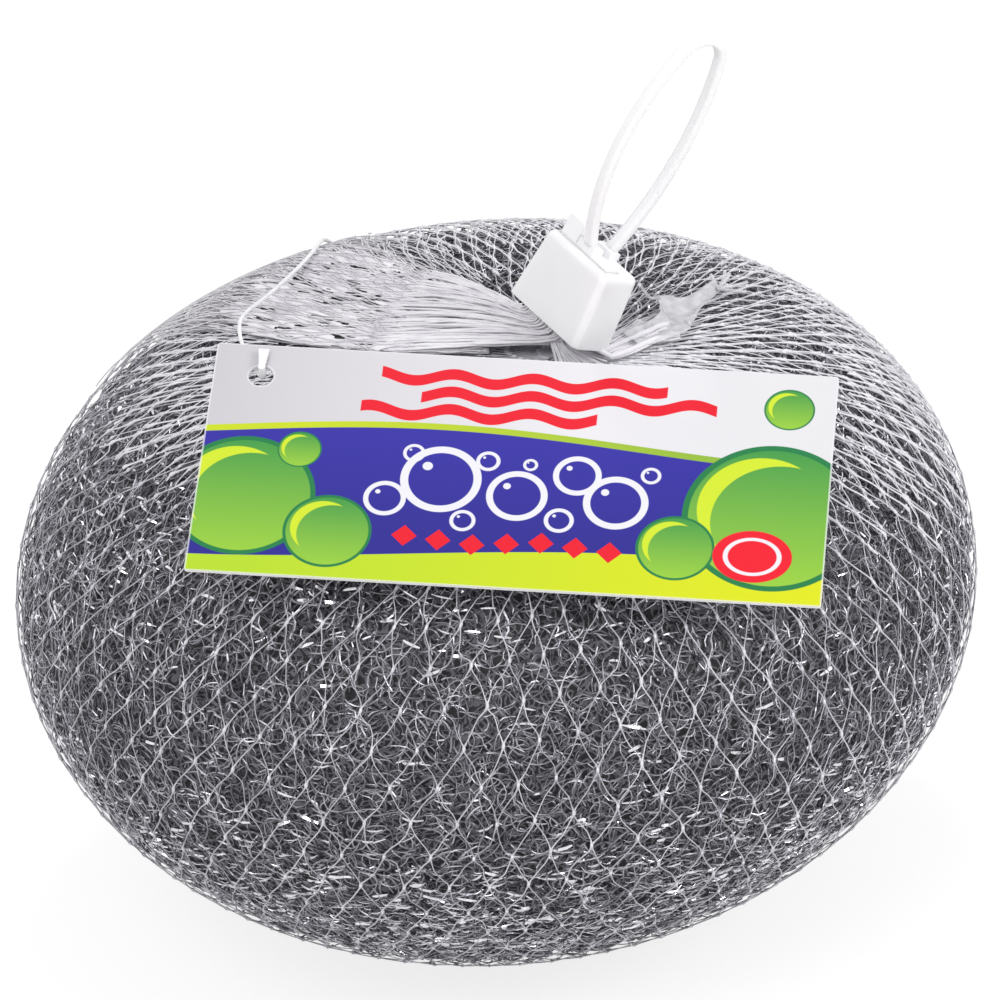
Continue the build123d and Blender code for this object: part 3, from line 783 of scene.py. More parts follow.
top_lines = ([], [], [])
random = np.random.default_rng(77)
for top_columns, top_pitch, most_front in top_layers:
    for strand in range(2 * top_columns):
        middle = (strand + 0.5) / 2
        length = net_length(middle * net_columns / top_columns)
        spot = net_point(middle * net_columns / top_columns, length - 0.03)
        away = np.array(spot[:2]) - np.array(net_high[:2])
        to_back = away[1] / np.linalg.norm(away)
        to_front = max(0, -to_back)
        reach = top_reach + top_back * max(0, to_back) - top_front * to_front
        reach += top_ragged * wobble(strand * 0.09, 2.0, 0.0)
        reach += random.uniform(-reach_spread, reach_spread)
        to_right = away[0] * right_x + away[1] * right_y > right_from
        stop = net_stop if to_right else left_stop + stop_spread * random.uniform(-1, 1)
        stop = max(stop, second_stop) if most_front < 1 else stop
        if to_front < most_front:
            way, first, last = (-1) ** strand, length - reach, length - stop
            lay_strand(top_lines, middle, way, top_columns, top_pitch, first, last)
weld_paint = mottled("white_weld", {"Scale": 300}, top_tones, {"Roughness": 0.4})
net = strand_piece("net_strands_4", top_lines, top_width, 3, weld_paint)
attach(net, "bun")
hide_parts("net_bag")


# ---- Net bag: the welds ----
# Where two strands cross they were pressed together hot, which leaves a short flat
# spindle a little wider than either strand.
knot_length, knot_width, knot_sides, knot_steps = 0.0008, 0.00046, 4, 5
knot_tip, hole_margin, most_rows = 0.25, 1.2, 200

knot_points = []
for row in range(1, most_rows):
    for column in range(net_columns):
        column += 0.0 if row % 2 else 0.5
        along = row * knot_pitch
        if net_start < along < net_length(column) - net_stop:
            ends = [net_point(column, along + side * knot_length) for side in (-0.5, 0.5)]
            if from_tag(ends[0]) > hole_margin:
                knot_points += ends

knot_tree, knot_ids, given = new_tree("net_weld", {"Width": "Float", "Plastic": "Material"})
line = add(knot_tree, "GeometryNodeMeshToCurve", {"Mesh": given["Geometry"]})
line = add(knot_tree, "GeometryNodeResampleCurve", {"Curve": line, "Count": knot_steps})
share = add(knot_tree, "GeometryNodeSplineParameter").outputs["Factor"]
bow = add(knot_tree, "ShaderNodeFloatCurve", {"Value": share})
bow.mapping.curves[0].points[0].location = (0, knot_tip)
bow.mapping.curves[0].points[1].location = (1, knot_tip)
bow.mapping.curves[0].points.new(0.5, 1.0)
bow.mapping.update()
ring = round_profile(knot_tree, given["Width"], knot_sides)
sweep(knot_tree, line, ring, given["Plastic"], Scale=bow)

edges = [(first, first + 1) for first in range(0, len(knot_points), 2)]
mesh = new_mesh("knots", knot_points, edges, [])
knots = grown("net_welds", mesh, knot_tree, knot_ids, {"Width": knot_width, "Plastic": weld_paint})
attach(knots, "bun")


# ---- Net bag: the folded fan ----
# The sleeve's spare net lies over the top in several layers, its cells pulled shut
# into long slits, and its strands run together towards the clip.
fan_layers = ((26, 0.0046), (34, 0.0039), (30, 0.0043))  # columns and pitch of each
fan_strand_width, fan_first_lift, fan_layer_gap = 0.0002, 0.00098, 0.00008
fan_low_edge = [(0.0016, -0.0126), (-0.0108, -0.0096), (-0.0228, -0.0036), (-0.0360, 0.0102)]
fan_high_edge = [(0.0016, 0.0050), (-0.0040, 0.0118), (-0.0088, 0.0190), (-0.0130, 0.0290)]
fan_length, fan_bulge, fan_rise, fan_least_lift = 0.042, 0.0052, 0.00022, 0.00012
roll_strands, roll_radius, roll_lift, roll_across = 5, 0.00022, 0.0004, 0.012
dimple_strands, dimple_length, dimple_step, dimple_lift = 9, 0.036, 0.030, 0.0002
end_strands, end_start, end_lift = 44, 0.82, 0.0003
dimple_pitch, end_pitch, line_steps = 0.0046, 0.0043, 46
fan_tones = (0.3, (0.77, 0.755, 0.80)), (0.65, (0.91, 0.895, 0.93))


def smooth_line(points, share):
    """Point at a share of a smooth line through the points."""
    points = np.array(points, float)
    spot = share * (len(points) - 1)
    index = min(int(spot), len(points) - 2)
    t = spot - index
    a, b = points[index], points[index + 1]
    before = points[index - 1] if index > 0 else 2 * a - b
    after = points[index + 2] if index + 2 < len(points) else 2 * b - a
    square, cube = 2 * before - 5 * a + 4 * b - after, 3 * a - before - 3 * b + after
    return 0.5 * (2 * a + (b - before) * t + square * t**2 + cube * t**3)


def fan_spot(across, along):
    """Spot on the fan, across from its low edge to its high one, along from foot to far end."""
    low, high = smooth_line(fan_low_edge, along), smooth_line(fan_high_edge, along)
    low_way = np.array(fan_low_edge[-1]) - np.array(fan_low_edge[0])
    way = low_way + np.array(fan_high_edge[-1]) - np.array(fan_high_edge[0])
    way /= np.linalg.norm(way)
    return low + (high - low) * across + way * fan_bulge * 4 * across * (1 - across) * along**2


def rolled(across, along, least, far):
    """Share of its lift that the fan has at a spot: it comes down at all its edges."""
    sides = across / 0.06 + least, (1 - across) / 0.06 + least
    return 0.2 + 0.8 * math.sqrt(max(min(1, *sides, (far - along) / 0.08), 0))


fan_lines = ([], [], [])
random = np.random.default_rng(31)
for layer, (columns, pitch) in enumerate(fan_layers):
    for column in range(columns):
        far = random.uniform(0.9, 1.03)
        offset = random.uniform(-0.35, 0.35)
        line = []
        for along in np.linspace(0, far, line_steps):
            row = along * fan_length / pitch + 0.35 * layer + offset
            row += 0.9 * wobble(column * 0.2, along * 2.0, layer * 5.0)
            across = (column + 0.5 + (-1) ** column * weave(row) * 0.55) / columns
            across += 0.05 * wobble(column * 0.12, along * 2.2, layer * 3.0)
            across += 0.02 * wobble(column * 0.5, along * 9.0, layer * 3.0)
            across = min(max(across, -0.01), 1.01)
            lift = (fan_first_lift - fan_layer_gap * layer) * rolled(across, along, 0.3, 1.04)
            lift += fan_rise * wobble(along * 16, across * 16, layer * 2.0)
            spot = past_tag(fan_spot(across, along))
            line.append(over_bag(spot, max(lift, fan_least_lift)))
        add_line(fan_lines, line)

# The folded low edge: a small roll of strands.
for lane in range(roll_strands):
    angle = lane * 2 * math.pi / roll_strands
    out, up = roll_radius * math.cos(angle), roll_radius * math.sin(angle)
    line = []
    for along in np.linspace(0, 0.96, 40):
        spot = fan_spot(roll_across, along)
        spot = spot + 0.0005 * wobble(along * 9, 2.0, lane * 4.0)
        line.append(over_bag(spot * (1 + out / 0.03), roll_lift + up))
    add_line(fan_lines, line)

# A loose single layer beyond the high edge, where the net dips into the dimple, and
# another past the low edge and the far end, where it thins out over the bun.
for column in range(dimple_strands):
    line = []
    for along in np.linspace(0, 0.85, 34):
        row = along * dimple_length / dimple_pitch
        across = 1.0 + (column + 0.5 + (-1) ** column * weave(row) / 2) * dimple_step
        across += 0.03 * wobble(column * 0.4, along * 4.0, 8.0)
        line.append(over_bag(fan_spot(across, along), dimple_lift))
    add_line(fan_lines, line)
for column in range(end_strands):
    line = []
    last = random.uniform(1.10, 1.32)
    for along in np.linspace(end_start, last, 16):
        row = along * fan_length / end_pitch
        row += 0.3 * wobble(column * 0.3, along * 3.0, 4.0)
        across = -0.04 + 1.1 * (column + 0.5 + (-1) ** column * weave(row) * 0.6) / end_strands
        inner = min(along, 1.0)
        ahead = fan_spot(across, 1.0) - fan_spot(across, 0.9)
        spot = fan_spot(across, inner) + ahead * (along - inner) / 0.1
        line.append(over_bag(past_tag(spot), end_lift))
    add_line(fan_lines, line)

fan_paint = mottled("white_strand_folded", {"Scale": 220}, fan_tones, {"Roughness": 0.5})
fan = strand_piece("net_fan", fan_lines, fan_strand_width, 3, fan_paint)
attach(fan, "bun")
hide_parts("net_folds")


# ---- Net bag: the web of the fan ----
# The layers underneath lie so close that they make a nearly closed web, with short
# slits where the cells have not quite shut. It thins out towards the far end.
web_along, web_across, web_first, web_span = 120, 100, 0.02, 1.03
web_lift, web_rise, web_least_lift, web_thickness = 0.00074, 0.00016, 0.0001, 0.00008
web_open, web_hole_margin, web_thins, web_frays = 0.34, 1.1, 0.84, 0.88


def web_spot(i, j):
    """How far along and across the fan a point of the web's grid lies."""
    return web_first + web_span * i / web_along, j / web_across


web_verts = []
for i in range(web_along + 1):
    for j in range(web_across + 1):
        along, across = web_spot(i, j)
        lift = web_lift * rolled(across, along, 0.2, 1.06)
        lift += web_rise * wobble(along * 16, across * 16, 2.0)
        web_verts.append(over_bag(fan_spot(across, along), max(lift, web_least_lift)))
closed = np.zeros((web_along, web_across), bool)
for i in range(web_along):
    for j in range(web_across):
        along, across = web_spot(i + 0.5, j + 0.5)
        bend = across + 0.02 * wobble(along * 6, across * 4, 5.0)
        edge = web_open - 0.12 * along - 1.1 * max(0, along - web_thins) / 0.2
        edge -= 0.5 * max(0, across - web_frays) / 0.12
        slit = wobble(along * 11, bend * 36, 3.0)
        slit += 0.3 * wobble(along * 3, across * 5, 7.0)
        near_tag = from_tag(fan_spot(across, along)) < web_hole_margin
        closed[i, j] = slit < edge and not near_tag

# Faces that touch only at a corner are joined, so that the web's wall stays whole.
for _ in range(3):
    for i in range(web_along - 1):
        for j in range(web_across - 1):
            a, b, c, d = closed[i, j], closed[i + 1, j], closed[i, j + 1], closed[i + 1, j + 1]
            if a == d and b == c and a != b:
                closed[i:i + 2, j:j + 2] = True
row = web_across + 1
starts = [i * row + j for i in range(web_along) for j in range(web_across) if closed[i, j]]
web_faces = [(a, a + row, a + row + 1, a + 1) for a in starts]
mesh = new_mesh("web", web_verts, [], web_faces)


def drop_loose(shape):
    loose = [vert for vert in shape.verts if not vert.link_faces]
    bmesh.ops.delete(shape, geom=loose, context="VERTS")


reworked(mesh, drop_loose)
mesh.shade_smooth()
mesh.materials.append(fan_paint)
sheet = add_object("web", mesh)
wall = sheet.modifiers.new("wall", "SOLIDIFY")
wall.thickness, wall.offset = web_thickness, 0
web = made_real(sheet, "net_fan_web")
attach(web, "bun")


# ---- Net bag: the neck ----
# All strands run together under the clip and up into its mouth: the folded fan from
# the left, the rest of the net from all round.
clip_hinge = np.array([0.0098454, -0.0137886, 0.0815753])
clip_across = np.array([0.5444, -0.7812, -0.3056])
clip_along = np.array([0.5087, 0.0178, 0.8607])
clip_out = np.array([-0.6669, -0.6241, 0.4071])
neck_centre = clip_hinge - 0.0013 * clip_across
neck_foot = np.array([0.0112, -0.0145])
neck_width, neck_half_across, neck_half_out = 0.0003, 0.0034, 0.0014
neck_inside, neck_straight, neck_astray = 0.0028, 0.0016, 0.00022
neck_fan_strands, neck_layers, neck_round_strands = 46, 5, 120
fan_root_lift, fan_leave = 0.0005, np.array([0.0020, -0.0008])
least_puff, most_puff = 0.0004, 0.0022
neck_front, neck_layer_gap, ring_radius, ring_spread = 0.0016, 0.0006, 0.0045, 0.0012


def bent_line(root, leave, arrive, head, steps):
    """Points of a smooth bend from root to head, given the points that it leaves and comes by."""
    shares = np.linspace(0, 1, steps)[:, None]
    rest = 1 - shares
    first_half = rest**3 * root + 3 * shares * rest**2 * leave
    return first_half + 3 * shares**2 * rest * arrive + shares**3 * head


random = np.random.default_rng(21)
noise.seed_set(21)  # the vector noise below would be another one at every run
neck_lines = ([], [], [])
for layer in range(neck_layers):
    for column in range(neck_fan_strands):
        across = (column + 0.5 + 0.4 * (layer % 2)) / neck_fan_strands
        across = min(max(across + random.uniform(-0.015, 0.015), 0), 1)
        lift = fan_first_lift - fan_layer_gap * layer
        spot = fan_spot(across + random.uniform(-0.02, 0.02), random.uniform(0.10, 0.46))
        root = over_bag(spot, fan_root_lift)
        puff = most_puff * math.sin(math.pi * min(across * 0.8 + 0.1, 1))
        puff = least_puff + puff * random.uniform(0.75, 1.1)
        leave = over_bag(fan_spot(across, 0.0) + fan_leave, lift + puff)
        side = 0.0033 * (1 - 2 * across) + random.uniform(-0.0007, 0.0007)
        side = max(min(side, neck_half_across), -neck_half_across)
        out = neck_front - neck_layer_gap * layer + random.uniform(-0.0005, 0.0003)
        out *= math.sqrt(1 - (2 * across - 1) ** 2 * 0.7)
        head = neck_centre + clip_across * side + clip_out * out
        arrive = head - clip_along * neck_straight + clip_out * random.uniform(0.0002, 0.0010)
        line = [*bent_line(root, leave, arrive, head, 14), head + clip_along * neck_inside]
        for index in range(1, 11):
            drift = Vector(line[index] * 420) + Vector((column * 0.6, layer * 3.0, 0))
            line[index] = line[index] + neck_astray * np.array(noise.noise_vector(drift))
        add_line(neck_lines, line)
for strand in range(neck_round_strands):
    turn = math.radians(-115 + 230 * strand / neck_round_strands + random.uniform(-2, 2))
    heading = np.array([math.cos(turn), math.sin(turn)])
    outer = ring_radius + random.uniform(-ring_spread, ring_spread)
    spot = neck_foot + outer * heading
    root = over_bag(spot, 0.0001 + random.uniform(0, 0.0004))
    leave = over_bag(spot - heading * outer * 0.5, 0.0005)
    flat = np.append(heading, 0)
    fit = math.atan2(flat @ clip_out, flat @ clip_across)
    spread = math.sqrt(random.uniform(0.1, 1))
    ring = clip_across * neck_half_across * math.cos(fit) + clip_out * neck_half_out * math.sin(fit)
    head = neck_centre + spread * ring
    line = bent_line(root, leave, head - clip_along * neck_straight, head, 9)
    add_line(neck_lines, [*line, head + clip_along * neck_inside])
neck = strand_piece("net_neck_strands", neck_lines, neck_width, 4, fan_paint)
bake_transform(neck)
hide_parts("net_neck")


# ---- Net bag: the bunch in the clip ----
# The strands that the plug's teeth jam in the clip, side by side along the mouth.
# Each runs at its own depth between the two faces of the solid bunch.
bunch_strands, bunch_first, bunch_across = 60, -0.0045, 0.0068
bunch_low, bunch_high, bunch_beyond = 0.0003, 0.0095, 0.01

solid = bpy.data.objects["net_bunch"].data
corners, sides = [v.co for v in solid.vertices], [f.vertices for f in solid.polygons]
faces_of_bunch = BVHTree.FromPolygons(corners, sides)
bunch_lines = ([], [], [])
for strand in range(bunch_strands):
    side = bunch_first + bunch_across * (strand + 0.5) / bunch_strands
    level = random.uniform(0.12, 0.88)
    line = []
    for along in np.linspace(bunch_low, bunch_high, 12):
        base = clip_hinge + clip_across * side + clip_along * along
        hits = []
        for way in (1, -1):
            outside = Vector(base - way * clip_out * bunch_beyond)
            hits.append(faces_of_bunch.ray_cast(outside, Vector(way * clip_out))[0])
        if all(hits):
            line.append(hits[0].lerp(hits[1], level))
    add_line(bunch_lines, line)
bunch = strand_piece("net_bunch_strands", bunch_lines, neck_width, 4, fan_paint)
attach(bunch, "clip")
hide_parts("net_bunch")


# ---- Net bag: the tail ----
# The sleeve's other end comes out of the mouth on the right: strands between two
# thicker bands, with the net's cells pulled nearly shut.
tail_inside = [(0.01395, -0.01655, 0.0845), (0.0129, -0.0172, 0.0812)]
tail_low = [(0.0162, -0.0176), (0.0200, -0.0150), (0.0219, -0.0134), (0.0246, -0.0122)]
tail_high = [(0.0140, -0.0152), (0.0176, -0.0118), (0.0202, -0.0092), (0.0224, -0.0070)]
tail_strands, tail_bands, tail_width, band_width = 17, (1, 9), 0.0003, 0.0007
tail_lift, tail_rise, band_lift = 0.0006, 0.0003, 0.0003

tail_lines, band_lines = ([], [], []), ([], [], [])
for strand in range(tail_strands):
    across = strand / (tail_strands - 1)
    band = strand in tail_bands
    line = [np.array(point) + clip_across * 0.0012 * (0.5 - across) for point in tail_inside]
    for along in np.linspace(0, 1, 12):
        swing = 0 if band else 0.035 * (-1) ** strand * weave(along * 3.4 + 0.3 * strand)
        low, high = smooth_line(tail_low, along), smooth_line(tail_high, along)
        spot = low * (1 - across - swing) + high * (across + swing)
        lift = tail_lift + tail_rise * wobble(across * 4, along * 4, 2.0)
        line.append(over_bag(spot, lift + (band_lift if band else 0)))
    add_line(band_lines if band else tail_lines, line)
tail = strand_piece("net_tail_strands", tail_lines, tail_width, 4, fan_paint)
bands = strand_piece("net_tail_bands", band_lines, band_width, 8, fan_paint)
for piece in (tail, bands):
    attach(piece, "clip")
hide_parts("net_tail")


# ---- Net bag: the melted end ----
# The tail's end is melted shut into a thin crumpled film with a few stiff whiskers,
# and a clear thread of plastic is drawn from it to the clip's corner.
film_low = [
    (0.0194, -0.0152), (0.0246, -0.0122), (0.0262, -0.0095), (0.0276, -0.0050), (0.0303, 0.0012),
]
film_high = [
    (0.0178, -0.0118), (0.0224, -0.0075), (0.0227, -0.0025), (0.0264, -0.0012), (0.0294, 0.0040),
]
film_thickness, film_lift, film_along, film_across = 0.00012, 0.00095, 44, 20
film_tones = (0.3, (0.66, 0.66, 0.69)), (0.65, (0.90, 0.90, 0.93))
film_looks = {"Roughness": 0.22, "Alpha": 0.56}
whisker_root, whisker_curl, whisker_width = np.array([0.0300, 0.0020]), 14, 0.00045
whiskers_out = (  # reach, turn and rise
    (0.0042, 18, 0.9), (0.0042, 62, 1.2), (0.0020, 100, 1.4), (0.0034, -22, 0.6), (0.0026, 44, 1.8),
)
whisker_lift, whisker_rise = 0.0008, 0.0007
drawn_from, drawn_lift, drawn_sag = (0.0228, -0.0019), 0.0010, 0.0012
clip_corner = clip_hinge + clip_across * 0.0064 + clip_along * 0.0104 - clip_out * 0.0024

film_paint = mottled(
    "melted_film", {"Scale": 700, "Detail": 3}, film_tones, film_looks,
    grain=({"Scale": 700, "Detail": 3}, 0.4, 0.0002),
)


def closed_film(name, sides_at, along_count, across_count):
    """Thin closed sheet from a function of two shares that gives its two sides' points."""
    shares = [
        (i / along_count, j / across_count)
        for i in range(along_count + 1)
        for j in range(across_count + 1)
    ]
    uppers, lowers = zip(*(sides_at(*share) for share in shares))
    row, half = across_count + 1, len(shares)
    faces = []
    for start in range(0, along_count * row, row):
        for a in range(start, start + across_count):
            faces.append((a, a + row, a + row + 1, a + 1))
            faces.append((half + a, half + a + 1, half + a + row + 1, half + a + row))
    rim = list(range(across_count)) + list(range(across_count, half - 1, row))
    rim += list(range(half - 1, half - row, -1)) + list(range(half - row, 0, -row))
    faces += [(a, b, half + b, half + a) for a, b in zip(rim, rim[1:] + rim[:1])]
    mesh = new_mesh(name, uppers + lowers, [], faces)
    reworked(mesh, turn_outward)
    mesh.shade_smooth()
    mesh.materials.append(film_paint)
    return mesh


def film_sides(along, across):
    """Upper and lower point of the crumpled film."""
    low, high = smooth_line(film_low, along), smooth_line(film_high, along)
    curl = 0.00035 * math.sin(7 * across + 3 * along)
    curl += 0.0005 * wobble(along * 5, across * 2, 7.0)
    ragged = 0.0004 * wobble(along * 14, across * 3, 1.0)
    middle = over_bag(low + (high - low) * across + ragged, film_lift + curl)
    half = np.array([0, 0, film_thickness / 2])
    return middle + half, middle - half


film = add_object("net_end_film", closed_film("net_end_film", film_sides, film_along, film_across))
whisker_lines = ([], [], [])
for reach, turn, rise in whiskers_out:
    line = []
    for share in np.linspace(0, 1, 6):
        angle = math.radians(turn + whisker_curl * share)
        spot = whisker_root + share * reach * np.array([math.cos(angle), math.sin(angle)])
        line.append(over_bag(spot, whisker_lift + whisker_rise * rise * share))
    add_line(whisker_lines, line)
drawn_end = over_bag(drawn_from, drawn_lift)
drawn_bend = (drawn_end + clip_corner) / 2 - np.array([0, 0, drawn_sag])
add_line(whisker_lines, bent_line(drawn_end, drawn_bend, drawn_bend, clip_corner, 10))
whiskers = strand_piece("net_end_whiskers", whisker_lines, whisker_width, 6, film_paint)
for piece in (film, whiskers):
    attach(piece, "clip")
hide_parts("net_end_weld")


# ---- Net bag: the rosette under the bun ----
# The sleeve's closed end, as such sleeves are usually shut: the strands are drawn to
# a point under the bun and melted into a small button.
rosette_strands, rosette_radii, rosette_width = 96, (0.0055, 0.0008), 0.0003
rosette_steps, rosette_low, rosette_rise, rosette_rough = 7, 0.0004, 0.0012, 0.0003
button_radius, button_height, button_dome, button_middle = 0.0021, 0.0018, 0.0007, 0.0001

rosette_lines = ([], [], [])
for strand in range(rosette_strands):
    turn = 2 * math.pi * strand / rosette_strands
    line = []
    for step, radius in enumerate(np.linspace(*rosette_radii, rosette_steps)):
        angle = turn + 0.12 * math.sin(step * 1.1 + strand)
        height = rosette_low + rosette_rise * (step / (rosette_steps - 1)) ** 2
        height += rosette_rough * random.uniform(0, 1)
        line.append((radius * math.cos(angle), radius * math.sin(angle), height))
    add_line(rosette_lines, line)
rosette = strand_piece("net_rosette", rosette_lines, rosette_width, 4, fan_paint)


def button_sides(along, across):
    """Upper and lower point of the melted button."""
    turn = 2 * math.pi * along
    uneven = 1 + 0.12 * wobble(math.cos(turn) * 2, math.sin(turn) * 2, 5.0)
    radius = button_middle + button_radius * across * uneven
    spot = np.array([radius * math.cos(turn), radius * math.sin(turn), button_height])
    dome = np.array([0, 0, button_dome * math.sqrt(max(1 - across**2, 0)) + 0.00005])
    return spot + dome, spot - dome


def close_middle(shape):
    """Joins the button's seam and takes out the small ring of faces inside it."""
    bmesh.ops.remove_doubles(shape, verts=shape.verts, dist=0.000001)
    near = {v for v in shape.verts if max(abs(v.co.x), abs(v.co.y)) < 1.2 * button_middle}
    inner = [face for face in shape.faces if near.issuperset(face.verts)]
    bmesh.ops.delete(shape, geom=inner, context="FACES")


button_mesh = closed_film("net_button", button_sides, 40, 8)
reworked(button_mesh, close_middle)
button = add_object("net_button", button_mesh)
for piece in (rosette, button):
    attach(piece, "bun")
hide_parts("net_base_seal")


# ---- Clip, plug and hanging loop ----
# Injection-moulded milky plastic, a little translucent, with a fine satin skin. The
# three solids of the source stay as they are and get this finish.
clip_tones = (0.3, (0.94, 0.93, 0.955)), (0.7, (0.97, 0.96, 0.98))
clip_looks = {
    "Roughness": 0.38, "Subsurface Weight": 0.3, "Subsurface Radius": (1, 1, 1),
    "Subsurface Scale": 0.0025,
}


def coat_node(name, paint):
    """Gives a solid carried over from the frame its finish."""
    for slot in bpy.data.objects[name].material_slots:
        slot.material = paint


clip_grain = ({"Scale": 3000}, 0.08, 0.00005)
clip_paint = mottled("milky_plastic", {"Scale": 120}, clip_tones, clip_looks, clip_grain)
for name in ("clip_housing", "clip_plug", "hanging_loop"):
    coat_node(name, clip_paint)


# ---- Nylon tag ----
# Clear nylon in one moulding: a flap and pin at the card, a thin drawn thread and a
# bar under the net.
thread_points = [
    (-16.89, 30.05, 75.92), (-17.7, 28.6, 77.4), (-18.4, 24.8, 78.3), (-20.0, 18.6, 79.0),
    (-22.6, 9.5, 80.5), (-25.3, -0.5, 82.6), (-27.2, -9.0, 85.0), (-28.0, -14.5, 86.0),
    (-27.6, -18.6, 84.5), (-26.14, -20.85, 83.13),
]
thread_length, thread_width = 0.0546, 0.0005

nylon_tones = (0.3, (0.80, 0.80, 0.83)), (0.7, (0.95, 0.95, 0.97))
nylon_looks = {
    "Roughness": 0.2, "IOR": 1.5, "Subsurface Weight": 0.6, "Subsurface Radius": (1, 1, 1),
    "Subsurface Scale": 0.0006,
}
nylon_paint = mottled("clear_nylon", {"Scale": 900}, nylon_tones, nylon_looks)

curve = bpy.data.curves.new("tag_thread", "CURVE")
curve.dimensions = "3D"
curve.bevel_depth = thread_width / 2
curve.bevel_resolution = 3
curve.resolution_u = 10
curve.use_fill_caps = True
spline = curve.splines.new("NURBS")
spline.points.add(len(thread_points) - 1)
for point, (x, y, z) in zip(spline.points, thread_points):
    point.co = (x / 1000, y / 1000, z / 1000, 1)
spline.order_u = 3
spline.use_endpoint_u = True
curve.materials.append(nylon_paint)
thread = add_object("tag_thread", curve)
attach(thread, "tag")
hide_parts("tag_filament")
for name in ("tag_head", "tag_bar"):
    coat_node(name, nylon_paint)


# ---- Swing label ----
# A card of coated white paper, printed on the front and plain behind, with a punched
# hole that the nylon tag's pin goes through.
card_middle = (0.0032683, -0.0382453, 0.0744676)
card_right = Vector((0.9858, -0.138365, -0.095145))
card_up = Vector((0.166611, 0.87658, 0.451495))
card_front = Vector((0.020931, -0.460936, 0.887186))
card_half_width, card_half_height = 37.0, 16.7
card_worn_side, card_worn_end, hole_radius, hole_spot = 0.18, 0.14, 1.68, (-31.3, 12.1)
print_roughness, paper_roughness = 0.36, 0.7


def ink(red, green, blue):
    """Ink colour written as on a screen, from 0 to 255."""
    parts = [value / 255 for value in (red, green, blue)]
    curved = [((value + 0.055) / 1.055) ** 2.4 for value in parts]
    return [low / 12.92 if low < 0.04045 else high for low, high in zip(parts, curved)] + [1]


red_ink, white_ink, bare_edge = ink(228, 26, 46), ink(230, 229, 236), ink(232, 231, 235)
ribbons = ((13.3, -17, 17), (10.7, -12, 23), (8.1, -19, 9))  # height, first and last x
drops = (  # x, y and radius
    (30.5, -4.5, 10.5), (19.6, -9.6, 4.6), (-31.5, -5.5, 8.6), (-21.0, -10.0, 5.2),
    (-25.5, 1.6, 2.6), (31.5, 11.4, 3.0),
)
foam = (  # x, y, radius and line width
    (-8.5, -1.6, 4.3, 0.95), (0.6, -3.4, 3.2, 0.8), (7.4, 0.0, 2.5, 0.7), (12.2, -3.6, 3.4, 0.85),
    (-14.8, -4.8, 2.2, 0.6), (5.8, -6.6, 1.5, 0.5), (-3.2, 1.4, 1.2, 0.45), (-12.0, 2.0, 1.1, 0.4),
    (16.0, 0.6, 1.0, 0.4), (-5.4, -7.4, 1.3, 0.45), (1.8, 1.2, 0.7, 0.35),
)
disc, disc_radius, disc_ring = (28.6, -10.2, 0.8), 3.7, 2.5  # the disc's x, y and stretch
crest_wave, strip_wave, ribbon_wave = (3.9, 1.7, 96, 2.2), (-12.6, 1.8, 120, 0.6), (0.6, 9.5, 0.8)
lime_width, ribbon_half, lozenge_half, lozenge_y = 0.9, 0.8, 1.5, -10.4

card_paint = bpy.data.materials.new("printed_card")
card_tree = empty_tree(card_paint)
flatten = {
    "Vector": add(card_tree, "ShaderNodeTexCoord").outputs["Object"],
    "Location": card_middle,
    "Rotation": Matrix((card_right, card_up, card_front)).transposed().to_euler(),
    "Scale": (0.001, 0.001, 0.001),
}
flatten = add(card_tree, "ShaderNodeMapping", flatten, vector_type="TEXTURE")
card_x, card_y, card_z = add(card_tree, "ShaderNodeSeparateXYZ", {0: flatten}).outputs


def sum_up(kind, *values):
    """Number worked out from sockets and plain numbers."""
    return maths(card_tree, kind, *values)


def soft_below(value, edge, blur=0.06):
    """1 where the value is under the edge, with the edge a printed dot wide."""
    span = {"Value": value, "From Min": edge + blur, "From Max": edge - blur}
    return add(card_tree, "ShaderNodeMapRange", span, interpolation_type="SMOOTHSTEP")


def apart_from(value, centre):
    return sum_up("ABSOLUTE", sum_up("SUBTRACT", value, centre))


def from_spot(x, y, stretch=1.0):
    """Distance on the card from a spot, in millimetres."""
    dx = sum_up("MULTIPLY", sum_up("SUBTRACT", card_x, x), stretch)
    dy = sum_up("SUBTRACT", card_y, y)
    squares = sum_up("ADD", sum_up("MULTIPLY", dx, dx), sum_up("MULTIPLY", dy, dy))
    return sum_up("SQRT", squares)


def wave_line(height, swing, length, start):
    """How far a point lies above a wavy line across the card."""
    turn = sum_up("MULTIPLY_ADD", card_x, 2 * math.pi / length, start)
    wave = sum_up("MULTIPLY", sum_up("SINE", turn), swing)
    return sum_up("SUBTRACT", sum_up("SUBTRACT", card_y, wave), height)


def printed(under, colour, mask):
    """Lays an ink over what is there, by a mask."""
    layers = {"Factor": mask, "A": under, "B": colour}
    return add(card_tree, "ShaderNodeMix", layers, data_type="RGBA").outputs["Result"]


def fade(value, low, high, first, last):
    """Colour that fades from one ink to another as a number goes from low to high."""
    span = {"Value": value, "From Min": low, "From Max": high}
    return printed(first, last, add(card_tree, "ShaderNodeMapRange", span))


# White top with a painted sheen, greyest at the left and lightest in the middle, then a
# blue field with a lime edge line, and a strip from lime to yellow.
face = fade(card_x, -37, 8, ink(198, 195, 201), ink(226, 224, 228))
face = fade(card_x, 8, 37, face, ink(221, 221, 224))
crest = wave_line(*crest_wave)
lime = fade(card_x, -25, 25, ink(196, 212, 36), ink(140, 178, 60))
face = printed(face, lime, soft_below(crest, lime_width))
blue = fade(card_y, -10, 4, ink(44, 40, 140), ink(52, 46, 158))
face = printed(face, blue, soft_below(crest, 0))
strip = fade(card_x, -30, 30, ink(178, 212, 45), ink(214, 220, 26))
face = printed(face, strip, soft_below(wave_line(*strip_wave), 0))

